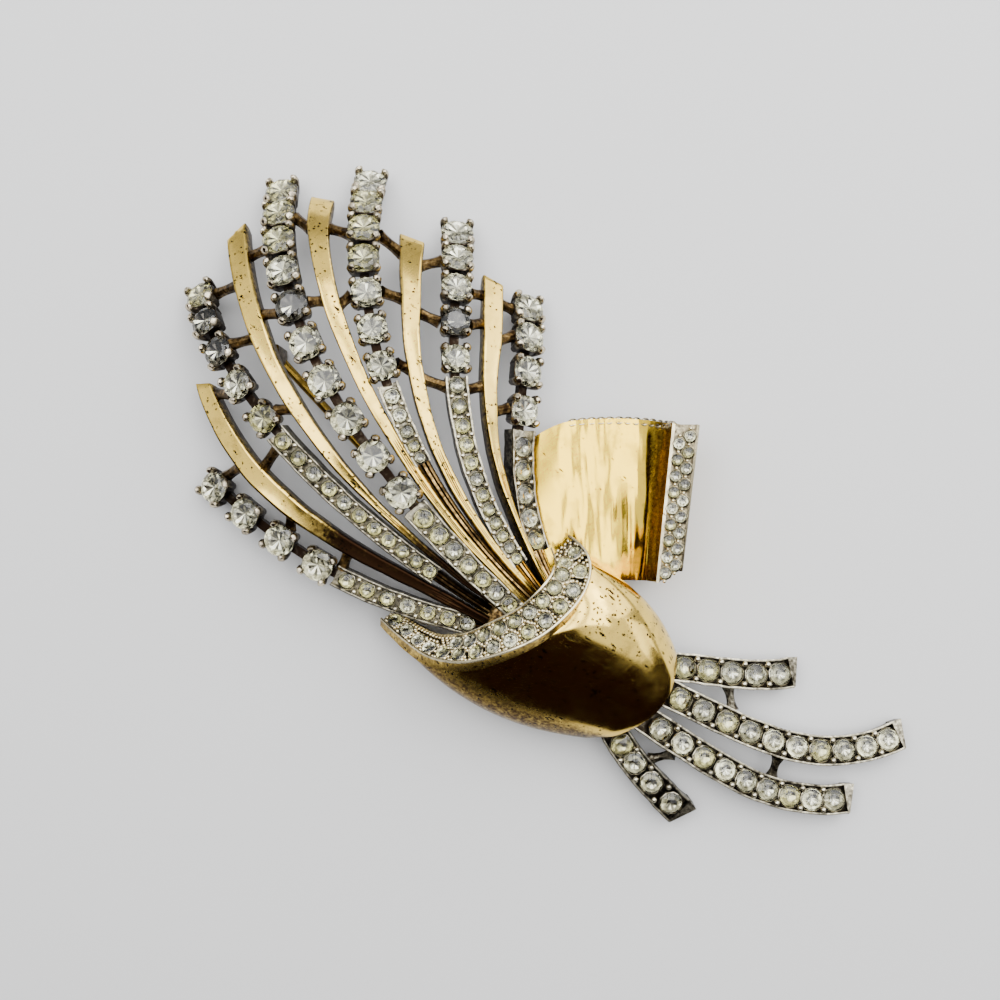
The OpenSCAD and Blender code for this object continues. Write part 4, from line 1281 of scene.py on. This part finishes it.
bm = bmesh.new()
layer = recess_layer(bm)
bmesh.ops.create_grid(bm, x_segments=SHEET_ACROSS, y_segments=SHEET_ROUND, size=0.5)
for vertex in bm.verts:
    u, v = vertex.co.x + 0.5, vertex.co.y + 0.5
    point = sleeve_point(u, v) + TO_MIDDLE
    point.z = max(SLEEVE_WALL * SLEEVE_LOW, point.z)
    vertex.co = point
    # The low side gets its mottled wear and a painted dark reflection
    vertex[layer] = LOW_WEAR_AND_REFLECTION * faded(WEAR_AND_REFLECTION_TO, v, WEAR_AND_REFLECTION_FADE)
for face in bm.faces:
    if face.normal.z < 0:
        face.normal_flip()
rolled_sleeve = finish_piece("rolled_sleeve", bm, [gilt], ["knot_sleeve"], 50)
thicken = rolled_sleeve.modifiers.new("wall", "SOLIDIFY")
thicken.thickness = SLEEVE_WALL * MM
thicken.offset = -1.0
thicken.use_even_offset = False
round_rim = rolled_sleeve.modifiers.new("rim", "BEVEL")
round_rim.width = RIM_ROUND * MM
round_rim.segments = 2
round_rim.limit_method = "ANGLE"
round_rim.angle_limit = math.radians(60)

# %% [markdown]
# The set collar
#
# A grooved band of cream-toned metal hems the mouth of the sleeve. It could be cut out of the
# sheet, but it leans and narrows on its own way. So it is swept like the channels, along a free
# line with its own width and tilt at each point. Two columns of stones sit in it, staggered,
# and small grains of metal fill the rest of its floor.

# %% Collar line
# x, y, z, share of the full width, tilt towards the mouth
COLLAR = [
    (-16.3, -12.8, 3.4, 0.55, 25), (-14.8, -13.9, 4.6, 0.60, 30), (-12.6, -15.2, 6.4, 0.72, 38),
    (-10.4, -15.9, 8.4, 0.86, 45), (-7.4, -15.7, 10.6, 0.96, 42), (-4.0, -14.4, 12.3, 1.00, 34),
    (-0.9, -12.8, 13.3, 1.00, 24), (1.4, -10.8, 13.8, 1.00, 14), (3.0, -8.7, 13.2, 1.00, 8),
    (3.4, -6.7, 11.8, 0.95, 6), (2.3, -4.8, 9.6, 0.62, 8),
]
COLLAR_W = 4.0
COLLAR_H = 1.6
COLLAR_GROOVE = 0.9
# How far the outer wall flares, the height where it does, and the tilt that has all of it
FLARE, FLARE_AT, FULL_TILT = 0.45, -0.95, 40
# How far the foot stands inside the rails
FOOT_IN = 0.1
# Diameter of a stone, and its room to the rail
COLLAR_STONE, COLLAR_SEAT = 1.55, 0.12
COLLAR_LAST = len(COLLAR) - 1
COLLAR_RINGS = 60
# Reach along the line from which its direction is taken
COLLAR_NEAR = 0.05


def collar_value(x, k):
    return smooth([row[k] for row in COLLAR], x)


def collar_point(x):
    return Vector((collar_value(x, 0), collar_value(x, 1), collar_value(x, 2)))


def collar_frame(x):
    a = collar_point(max(0, x - COLLAR_NEAR))
    b = collar_point(min(COLLAR_LAST, x + COLLAR_NEAR))
    return seat((b - a).normalized(), collar_point(x), -collar_value(x, 4))


def collar_side(x):
    """How far each column of stones lies from the middle of the collar."""
    inside = COLLAR_W * collar_value(x, 3) / 2 - RAIL_W - COLLAR_SEAT
    return max(0.0, inside - COLLAR_STONE / 2)


COLLAR_STEP = COLLAR_LAST / COLLAR_RINGS
collar_marks = [(0.0, 0.0)]
for n in range(1, COLLAR_RINGS + 1):
    x = n * COLLAR_STEP
    step = (collar_point(x) - collar_point(x - COLLAR_STEP)).length
    collar_marks.append((collar_marks[-1][0] + step, x))


def collar_place(length):
    for (low, x0), (high, x1) in zip(collar_marks, collar_marks[1:]):
        if length <= high:
            return x0 + (x1 - x0) * (length - low) / (high - low)
    return COLLAR_LAST


print("collar length in mm:", round(collar_marks[-1][0], 1))

# %% Collar, its stones and beads
COLLAR_DEEP = (0.8, 0.4, 0.0, 0.0, 0.6, 0.6, 0.0, 0.0, 0.3, 0.4, 0.6)
# Numbers of the points of the outer wall below its rail
OUTER_WALL = (7, 8, 9)
# Side, stones and length to the first stone of each column
COLUMNS = ((1, 15, 1.3), (-1, 10, 10.3))
COLLAR_PITCH = 1.98
# Distance and height of the four beads round each stone, and their size
COLLAR_BEAD, COLLAR_BEAD_SIZE = (0.98, 0, -0.12), 0.5
bm = bmesh.new()
recess_layer(bm)
rings = []
for n in range(COLLAR_RINGS + 1):
    x = COLLAR_LAST * n / COLLAR_RINGS
    placed = collar_frame(x)
    w = COLLAR_W * collar_value(x, 3) / 2
    g = w - RAIL_W
    # The outer wall flares into the sheet where the collar leans most
    flare = min(1.0, collar_value(x, 4) / FULL_TILT)
    section = [
        (-w + FOOT_IN, -COLLAR_H), (-w, SLANT_FROM), (-w, RAIL_RISE),
        (-g, RAIL_RISE), (-g, -COLLAR_GROOVE), (g, -COLLAR_GROOVE), (g, RAIL_RISE),
        (w, RAIL_RISE), (w + 0.02, -0.1), (w + FLARE * flare, FLARE_AT), (w - FOOT_IN, -COLLAR_H),
    ]
    rings.append([placed @ Vector((px, 0, pz)) for px, pz in section])
made = sweep(bm, rings, recess=COLLAR_DEEP)
# The outer wall below the rail belongs to the gilt sheet
outer_wall = []
for a, b in zip(made, made[1:]):
    for k in OUTER_WALL:
        outer_wall += set(a[k].link_faces) & set(a[k + 1].link_faces) & set(b[k].link_faces)
round_rails(bm, made)
collar_places = []
for column, count, start in COLUMNS:
    for n in range(count):
        x = collar_place(start + n * COLLAR_PITCH)
        placed = collar_frame(x) @ Matrix.Translation((column * collar_side(x), 0, 0))
        collar_places.append(placed)
for placed in collar_places:
    for k in range(4):
        spot = placed @ Matrix.Rotation(math.radians(45 + 90 * k), 4, "Z")
        spot = spot @ Matrix.Translation(COLLAR_BEAD)
        join_in(bm, bead, spot @ Matrix.Scale(COLLAR_BEAD_SIZE, 4))
set_collets(bm, [(placed, COLLAR_STONE) for placed in collar_places])
print("collar stones:", len(collar_places))

# %% Grains on the collar's floor
# Small grains of metal fill the floor wherever no stone sits
GRAIN_STEPS = 300
GRAIN_FROM, GRAIN_TO = 6, 295
GRAIN_SIZE, GRAIN_PITCH, GRAIN_LOW = 0.42, 0.40, -0.15
# Room that a grain keeps from a stone and from a rail
STONE_ROOM, RAIL_ROOM = 0.22, 0.15
taken = [(placed.translation.copy(), COLLAR_STONE / 2 + STONE_ROOM) for placed in collar_places]
for n in range(GRAIN_FROM, GRAIN_TO):
    x = COLLAR_LAST * n / GRAIN_STEPS
    room = COLLAR_W * collar_value(x, 3) / 2 - RAIL_W - RAIL_ROOM
    for column in range(-4, 5):
        spot = collar_frame(x) @ Matrix.Translation((room * column / 4, 0, GRAIN_LOW))
        if all((spot.translation - p).length > reach for p, reach in taken):
            join_in(bm, bead, spot @ Matrix.Scale(GRAIN_SIZE, 4))
            taken.append((spot.translation.copy(), GRAIN_PITCH))
print("grains:", len(taken) - len(collar_places))
mark_metal(bm)
for wall in outer_wall:
    if wall.is_valid:
        wall.material_index = METAL_SLOT + 1
for n, placed in enumerate(collar_places):
    look = random.choice(SMALL_LOOKS)
    set_stone(bm, small_cut, placed, COLLAR_STONE, look, n)
finish_piece(
    "set_collar", bm, [*STONE_FINISHES, cream, gilt], ["knot_sleeve", "collar_stones"]
)

# %% [markdown]
# The curled ribbon
#
# The free end of the sheet curls round to the right and shows its silver end face, which holds
# two columns of small stones. A bent plane with a Solidify modifier would be the usual way, but
# its wall changes from a thin curl to a thick set end. So one closed section, smooth along its
# rolled sides and square round the groove, is drawn from the lower edge to the upper one.

# %% Ribbon section
# x and z at the lower edge, x, z and y at the upper edge
RIBBON = [
    (0.6, 2.8, -0.9, 2.8, 6.2), (5.0, 2.9, 3.0, 3.3, 8.1), (9.4, 3.0, 8.0, 3.8, 8.5),
    (11.6, 3.8, 11.6, 4.8, 8.3), (12.4, 5.4, 13.6, 6.4, 7.9), (12.6, 7.8, 14.2, 8.9, 7.7),
    (12.9, 7.8, 14.5, 8.9, 7.6), (12.9, 7.2, 14.5, 8.3, 7.6), (15.0, 7.2, 16.8, 8.3, 7.4),
    (15.0, 7.8, 16.8, 8.9, 7.4), (15.3, 7.6, 17.1, 8.7, 7.3), (15.2, 5.2, 16.9, 5.8, 7.3),
    (13.8, 2.4, 15.4, 3.2, 7.5), (11.4, 1.7, 11.8, 2.4, 8.0), (5.0, 1.2, 3.0, 1.6, 7.8),
    (0.6, 1.0, -0.9, 1.2, 6.2),
]
RIBBON_LOW = -9.2
# Points drawn between two points of the table, and rings from the lower edge to the upper
FINE = 20
RIBBON_RINGS = 40
# Heights of the broad, the fine and the hair-fine waves of its face
WAVES = (0.09, 0.03, 0.012)
# Where the face's waves begin, and over what width they grow
WAVES_FROM, WAVES_OVER = 1.0, 2.0


def ribbon_coarse(v):
    return [
        Vector((a * (1 - v) + c * v, RIBBON_LOW * (1 - v) + e * v, b * (1 - v) + d * v)) + TO_MIDDLE
        for a, b, c, d, e in RIBBON
    ]


def waved(point, v):
    """The sheet was bent by hand, so its face is faintly wavy across the ribbon."""
    fade = min(1.0, max(0.0, (point.x - WAVES_FROM) / WAVES_OVER))
    broad = noise.noise(Vector((point.x * 0.55, v * 2.2, 3.0)))
    fine = noise.noise(Vector((point.x * 1.7, v * 3.5, 9.0)))
    hair = noise.noise(Vector((point.x * 2.9 + broad, v * 5.0, 6.0)))
    height = WAVES[0] * broad + WAVES[1] * fine + WAVES[2] * hair
    return point + Vector((0, 0, height * fade))


# Share of the end face that its rounded corners take, and their depths at its two ends
CORNER_SHARE = 0.10
LOWER_CORNER, UPPER_CORNER = 1.5, 0.2


def ribbon_ring(v):
    """The section with its rolled sides drawn smooth and the groove left square."""
    coarse = ribbon_coarse(v)
    # The outer corners at both ends of the end face are rounded off
    corner = max(0.0, 1 - min(v, 1 - v) / CORNER_SHARE) ** 2
    for k in range(8, 12):
        depth = LOWER_CORNER if v < 0.5 else UPPER_CORNER
        coarse[k] = coarse[k] + Vector((0, depth * corner, 0))
    front, groove, back = coarse[:6], coarse[6:10], coarse[10:]
    ring = [waved(smooth(front, n / FINE), v) for n in range(5 * FINE + 1)]
    ring += groove
    ring += [smooth(back, n / FINE) for n in range(5 * FINE + 1)]
    return ring


print("points of the ribbon's section:", len(ribbon_ring(0.0)))

# %% Curled ribbon
# The tight part of the curl is darkened with tarnish, where cloths don't reach, and with painted shade
CURL_AT, CURL_REACH, CURL_RECESS = 3.75, 0.5, 0.45
# Recess values of the groove's four points, of the outer side and of the under side
GROOVE_DEEP, OUTER_DEEP, UNDER_DEEP = [0.0, 0.35, 0.35, 0.0], 0.1, 0.6
bm = bmesh.new()
recess_layer(bm)
front_count = 5 * FINE + 1
deep = []
for n in range(front_count):
    away = abs(n / FINE - CURL_AT) / CURL_REACH
    deep.append(CURL_RECESS * max(0.0, 1 - away * away))
deep += GROOVE_DEEP + [OUTER_DEEP] * (front_count // 2)
deep += [UNDER_DEEP] * (front_count - front_count // 2)
made = sweep(bm, [ribbon_ring(n / RIBBON_RINGS) for n in range(RIBBON_RINGS + 1)], recess=deep)
# The end face, from just before the groove to just behind it, is cream-toned
end_face = range(front_count - 2, front_count + 5)
for a, b in zip(made, made[1:]):
    for k in end_face:
        for face in set(a[k].link_faces) & set(a[k + 1].link_faces) & set(b[k].link_faces):
            face.material_index = 1
finish_piece("curled_ribbon", bm, [ribbon_gilt, cream], ["ribbon_tail"])

# %% Ribbon stones
STRIP_STONES = 9
STRIP_STONE = 1.22
# Place of the first stone and the run of both columns, as shares of the end face
STRIP_START, STRIP_RUN = 0.06, 0.87
# Side of the first column, and how far the second lies from it, as shares of the groove
STRIP_SIDE, STRIP_APART = 0.27, 0.46
# Distance and height of the two beads by each stone, and their size
STRIP_BEAD, STRIP_BEAD_SIZE = (0.0, 0.86, -0.1), 0.45
# Numbers of the groove's upper corners in the table of the section
GROOVE_LEFT, GROOVE_RIGHT = 6, 9


def strip_point(v, side):
    ring = ribbon_coarse(v)
    return ring[GROOVE_LEFT] + (ring[GROOVE_RIGHT] - ring[GROOVE_LEFT]) * side


bm = bmesh.new()
recess_layer(bm)
strip_places = []
for n in range(STRIP_STONES):
    for side in (0, 1):
        v = STRIP_START + STRIP_RUN * (n + 0.5 * side) / (STRIP_STONES - 0.5)
        forward = (strip_point(v + 0.02, 0.5) - strip_point(v, 0.5)).normalized()
        place = strip_point(v, STRIP_SIDE + STRIP_APART * side) - TO_MIDDLE
        strip_places.append(seat(forward, place, 0))
for placed in strip_places:
    for angle in (0, 180):
        spot = placed @ Matrix.Rotation(math.radians(angle), 4, "Z")
        spot = spot @ Matrix.Translation(STRIP_BEAD)
        join_in(bm, bead, spot @ Matrix.Scale(STRIP_BEAD_SIZE, 4))
set_collets(bm, [(placed, STRIP_STONE) for placed in strip_places])
print("stones in the end face:", len(strip_places))

# %% Stones along the ribbon's upper edge
# A row of tiny stones, seen from the side as a sparkling line
RIM_STONE = 0.85
RIM_PITCH = 1.0
# First and last place of the row, in fine steps of the section
RIM_FROM, RIM_TO = 24, 94
# Lean of a stone towards the table, and its place off the edge
RIM_LEAN = math.radians(48)
RIM_SEAT = Vector((0, -0.12, -0.30))
rim_line = [smooth(ribbon_coarse(1.0)[:6], n / FINE) for n in range(RIM_FROM, RIM_TO)]
rim_places = []
for a, b in zip(rim_line, rim_line[1:]):
    if not rim_places or (a - rim_places[-1].translation).length >= RIM_PITCH:
        flat = (b - a).normalized()
        out = Vector((0, 1, 0))
        columns = Matrix((flat, out.cross(flat), out)).transposed().to_4x4()
        columns.translation = a + RIM_SEAT
        rim_places.append(columns @ Matrix.Rotation(RIM_LEAN, 4, "X"))
set_collets(bm, [(placed, RIM_STONE) for placed in rim_places])
mark_metal(bm)
for n, placed in enumerate(strip_places):
    set_stone(bm, small_cut, placed, STRIP_STONE, random.choice(SILVER_LOOKS), n)
for n, placed in enumerate(rim_places):
    set_stone(bm, small_cut, placed, RIM_STONE, CLEAR, n)
finish_piece("ribbon_set", bm, [*STONE_FINISHES, cream], ["ribbon_stones"])

# %% [markdown]
# Set stems
#
# Four channel stems leave the lower end of the sleeve. One stem could be copied and bent four
# times, but each has its own length and number of stones. So they are made as the channels of
# the fan, with deeper grooves and tips cut at a slant, and three flared ties hold them together.

# %% Stems with stones
STEM_H = 1.8
STEM_RINGS = 36
STEM_FLOOR = 0.85
# Thickness of the plate that closes a stem, how much narrower its outer side is, and how far it
# runs into the stem
STEM_CAP, CAP_NARROWER, CAP_IN = 0.3, 0.3, 0.05
CAP_DEEP = (0.8, 0.45, 0.45, 0.8)
# How much further than the middle the tip's left and right corners reach
STEM_SKEW = (0.8, -0.15)
# Recess value of each stem's rails
STEM_WEAR = (0.20, 0.28, 0.34, 0.40)
# Reach of the beads as a share of a stone, their size and their height
STEM_BEAD = (0.45, 0.74, 0.05)
STEM_TURNS = 17


def cap_corners(width, lean):
    """Corners of the end plate in its own frame, slanted by this share of the full skew."""
    w = width / 2
    left, right = STEM_SKEW[0] * lean, STEM_SKEW[1] * lean
    return (-w, left, -STEM_H), (-w, left, RAIL_RISE), (w, right, RAIL_RISE), (w, right, -STEM_H)


for k, rib in enumerate(stem_ribs):
    bm = bmesh.new()
    recess_layer(bm)
    width_root, width_tip = STEMS[k][6:8]
    rings = []
    for n in range(STEM_RINGS + 1):
        share = n / STEM_RINGS
        width = width_root + (width_tip - width_root) * share
        section, deep = groove_section(width, STEM_H, GROOVE, STEM_FLOOR, STEM_WEAR[k])
        section = uneven(section, share * 1.5, 10 + k)
        placed = rib.seat(rib.place(rib.whole - STEM_CAP) * share)
        rings.append([placed @ Vector((x, 0, z)) for x, z in section])
    round_rails(bm, sweep(bm, rings, recess=deep))
    # A solid plate closes the tip, cut at a slant and a little narrower at its outer side
    rings = []
    for on, narrower, lean in ((-CAP_IN, 0.0, 0.0), (STEM_CAP, CAP_NARROWER, 1.0)):
        placed = rib.seat_at(rib.whole - STEM_CAP + on)
        rings.append([placed @ Vector(p) for p in cap_corners(width_tip - narrower, lean)])
    sweep(bm, rings, recess=CAP_DEEP)
    places = stem_places[k]
    set_beads(bm, places, STEM_STONE * STEM_BEAD[0], *STEM_BEAD[1:])
    set_collets(bm, places)
    mark_metal(bm)
    for j, (place, size) in enumerate(places):
        look = random.choice(SILVER_LOOKS)
        set_stone(bm, small_cut, place, size, look, STEM_TURNS * k + j)
    finish_piece(
        f"set_stem_{k + 1}", bm, [*STONE_FINISHES, rhodium],
        [f"stem_stones_{k + 1}"],
    )

# %% Stem ties and roots
# Stem above, place on it, place on the next
STEM_TIES = [(0, 0.57, 0.36), (1, 0.57, 0.67), (2, 0.28, 0.56)]
# Thickness at the ends, and the share of it that is left in the middle
STEM_TIE = (1.5, 0.6)
# Low corner and size of each lump of the solder that gathers the stems
STEM_ROOTS = [
    ((7.0, -21.6, 3.0), (2.6, 2.6, 3.4)),
    ((10.6, -18.8, 3.4), (1.6, 1.6, 2.4)),
    ((6.6, -23.0, 3.2), (1.6, 1.6, 2.4)),
]


def stem_side(k, t, side):
    width = STEMS[k][6] + (STEMS[k][7] - STEMS[k][6]) * t
    return stem_ribs[k].seat(t) @ Vector((side * (width - RAIL_W) / 2, 0, -STEM_H / 2))


bm = bmesh.new()
recess_layer(bm)
for k, here, there in STEM_TIES:
    add_tie(bm, stem_side(k, here, 1), stem_side(k + 1, there, -1), *STEM_TIE)
add_solder(bm, STEM_ROOTS)
finish_piece("stem_ties", bm, [rhodium], ["stem_spray"])

# %% [markdown]
# The pin
# The pin on the back is one plain piece: a round stem between a hinge block and a catch. It
# shows only as a dull gold line through the gap between the left ribs, so it needs no fine
# parts. Its dark gold is painted shade, for the shadow it lies in. A cylinder would do for the
# stem, but it has to be turned by angles, and the sweep used above needs only its two ends.

# %% Pin stem and its blocks
HINGE_AT, CATCH_AT = Vector((-4.4, -10.6, 0)), Vector((-28.6, 15.4, 0))
PIN_D, PIN_Z = 1.0, 1.7
PIN_RINGS, PIN_SIDES = 12, 20
# Place, width and top of each end block, and their underside
PIN_BLOCKS = ((HINGE_AT, 2.4, 4.05), (CATCH_AT, 1.8, 6.8))
BLOCK_LOW = 0.8
BLOCK_SOFTNESS = 0.2
bm = bmesh.new()
recess_layer(bm)
ends = [at + TO_MIDDLE + Vector((0, 0, PIN_Z)) for at in (HINGE_AT, CATCH_AT)]
along = (ends[1] - ends[0]).normalized()
turn = along.to_track_quat("Z", "Y").to_matrix().to_4x4()
circle = [2 * math.pi * k / PIN_SIDES for k in range(PIN_SIDES)]
rings = []
for n in range(PIN_RINGS + 1):
    middle = ends[0].lerp(ends[1], n / PIN_RINGS)
    rings.append([turn @ Vector((math.cos(a), math.sin(a), 0)) * PIN_D / 2 + middle for a in circle])
sweep(bm, rings, recess=[0.0] * PIN_SIDES)
for at, width, top in PIN_BLOCKS:
    low = Vector((at.x - width / 2, at.y - width / 2, BLOCK_LOW))
    add_solder(bm, [(low, (width, width, top - BLOCK_LOW))], BLOCK_SOFTNESS)
finish_piece("back_pin", bm, [pin_gilt_painted_shade], ["pin_back"])

# %% [markdown]
# The table, the light and the camera
#
# The brooch lies on a pale table and is seen straight from above. Polished metal shows the room
# more than itself, so the room is built as a jeweller's light box would be. Three ceiling panels
# with gaps between them draw the streaks on the ribbon, a window stands to the upper right, a
# small one to the right, and a dark screen bends round the lower side, out of the camera's
# sight. The sleeve mirrors it as its dark half. One bright sky could light the stones as well,
# but it would wash all of these contrasts out.

# %% Floor
FLOOR_HALF = 0.6
FLOOR_GREY, FLOOR_ROUGHNESS = (0.74, 0.74, 0.74, 1.0), 0.7


def plain_finish(name, colour, roughness):
    """One even colour, for the things of the room, and its shader."""
    made = bpy.data.materials.new(name)
    made.use_nodes = True
    shader = made.node_tree.nodes["Principled BSDF"]
    shader.inputs["Base Color"].default_value = colour
    shader.inputs["Roughness"].default_value = roughness
    return made, shader


def make_floor():
    bm = bmesh.new()
    bmesh.ops.create_grid(bm, x_segments=1, y_segments=1, size=FLOOR_HALF)
    mesh = bpy.data.meshes.new("floor")
    bm.to_mesh(mesh)
    bm.free()
    mesh.materials.append(plain_finish("pale_table", FLOOR_GREY, FLOOR_ROUGHNESS)[0])
    floor = bpy.data.objects.new("floor", mesh)
    bpy.context.scene.collection.objects.link(floor)


make_floor()
print("side of the floor in m:", 2 * FLOOR_HALF)

# %% Lights
# Place and width from left to right of each ceiling panel, in metres like all the room
PANELS = ((-0.23, 0.26), (-0.015, 0.10), (0.20, 0.24))
PANEL_Y, PANEL_Z, PANEL_LENGTH = 0.12, 0.47, 0.44
PANEL_RADIANCE = 4.3
# Place, size and power of the windows
WINDOW = ((0.22, 0.26, 0.21), (0.42, 0.34), 1.13)
SIDE_WINDOW = ((0.38, -0.03, 0.15), (0.22, 0.20), 0.235)
MIDDLE = (0.0, 0.0, 0.0)


def add_light(name, place, size, power, target):
    data = bpy.data.lights.new(name, "AREA")
    data.shape = "RECTANGLE"
    data.size, data.size_y = size
    data.energy = power
    light = bpy.data.objects.new(name, data)
    light.location = place
    aim = Vector(target) - Vector(place)
    light.rotation_euler = aim.to_track_quat("-Z", "Y").to_euler()
    bpy.context.scene.collection.objects.link(light)


for number, (x, width) in enumerate(PANELS):
    power = PANEL_RADIANCE * math.pi * width * PANEL_LENGTH
    place, size = (x, PANEL_Y, PANEL_Z), (width, PANEL_LENGTH)
    add_light(f"ceiling_panel_{number + 1}", place, size, power, (x, 0.0, 0.0))
add_light("window", *WINDOW, MIDDLE)
add_light("side_window", *SIDE_WINDOW, MIDDLE)
print("lights:", len(bpy.data.lights))

# %% Room
# Heights on the unit sphere between which the room brightens, and its strength at both
ROOM_LOW, ROOM_HIGH = 0.25, 0.55
ROOM_DIM, ROOM_BRIGHT = 0.6, 1.4


def make_room():
    """A plain room, brighter overhead than near the horizon."""
    room = bpy.data.worlds.new("room")
    room.use_nodes = True
    w = Wiring(room.node_tree)
    background = room.node_tree.nodes["Background"]
    background.inputs["Color"].default_value = (0.98, 0.99, 1.0, 1.0)
    parts = w.node("ShaderNodeSeparateXYZ")
    w.feed(parts.inputs[0], w.node("ShaderNodeTexCoord").outputs["Generated"])
    strength = w.between(parts.outputs["Z"], ROOM_LOW, ROOM_HIGH, ROOM_DIM, ROOM_BRIGHT)
    w.feed(background.inputs["Strength"], strength)
    bpy.context.scene.world = room


make_room()

# %% A dark screen below the picture
# Distance of its foot and head from the middle, and its height
SCREEN_FOOT, SCREEN_HEAD, SCREEN_TOP = 0.30, 0.11, 0.42
# Angles of its left edge, of the wing that widens its foot, and of its right edge
SCREEN_FROM, SCREEN_WING = math.radians(-158), math.radians(32)
SCREEN_TO_FOOT, SCREEN_TO_HEAD = math.radians(-5), math.radians(-71)
# Where up the screen the right edge starts to lean, and over what share it does
LEAN_FROM, LEAN_OVER = 0.15, 0.5
SCREEN_PIECES = 16
SCREEN_COLOUR, SCREEN_ROUGHNESS = (0.010, 0.004, 0.003, 1.0), 0.9


def add_dark_screen():
    """A dark screen bends round the lower side, and polished metal mirrors it."""
    bm = bmesh.new()
    bmesh.ops.create_grid(bm, x_segments=SCREEN_PIECES, y_segments=SCREEN_PIECES, size=0.5)
    for v in bm.verts:
        rise = v.co.y + 0.5
        cut = min(1.0, max(0.0, (rise - LEAN_FROM) / LEAN_OVER))
        cut = cut * cut * (3 - 2 * cut)
        last = SCREEN_TO_FOOT + (SCREEN_TO_HEAD - SCREEN_TO_FOOT) * cut
        first = SCREEN_FROM - SCREEN_WING * (1 - cut)
        angle = first + (last - first) * (v.co.x + 0.5)
        reach = SCREEN_FOOT + (SCREEN_HEAD - SCREEN_FOOT) * rise
        v.co = Vector((reach * math.cos(angle), reach * math.sin(angle), SCREEN_TOP * rise))
    mesh = bpy.data.meshes.new("dark_screen")
    bm.to_mesh(mesh)
    bm.free()
    cloth, shader = plain_finish("dark_cloth", SCREEN_COLOUR, SCREEN_ROUGHNESS)
    shader.inputs["Specular IOR Level"].default_value = 0.0
    mesh.materials.append(cloth)
    screen = bpy.data.objects.new("dark_screen", mesh)
    screen.visible_camera = False
    bpy.context.scene.collection.objects.link(screen)


add_dark_screen()

# %% Camera
# The camera stands straight over the table, a little to the left of the brooch's middle, as the
# longest stem runs out of the picture's right side. Its place is in millimetres.
CAMERA_X, CAMERA_Y, CAMERA_Z = -4.925, -0.605, 146
camera_data = bpy.data.cameras.new("camera")
camera_data.lens = 46.8
camera_data.sensor_width = 36.0
camera_data.clip_start = 0.01
camera = bpy.data.objects.new("camera", camera_data)
camera.location = (CAMERA_X * MM, CAMERA_Y * MM, CAMERA_Z * MM)
bpy.context.scene.collection.objects.link(camera)
bpy.context.scene.camera = camera
print("camera at, in m:", [round(value, 4) for value in camera.location])

# %% Update the scene
bpy.context.view_layer.update()
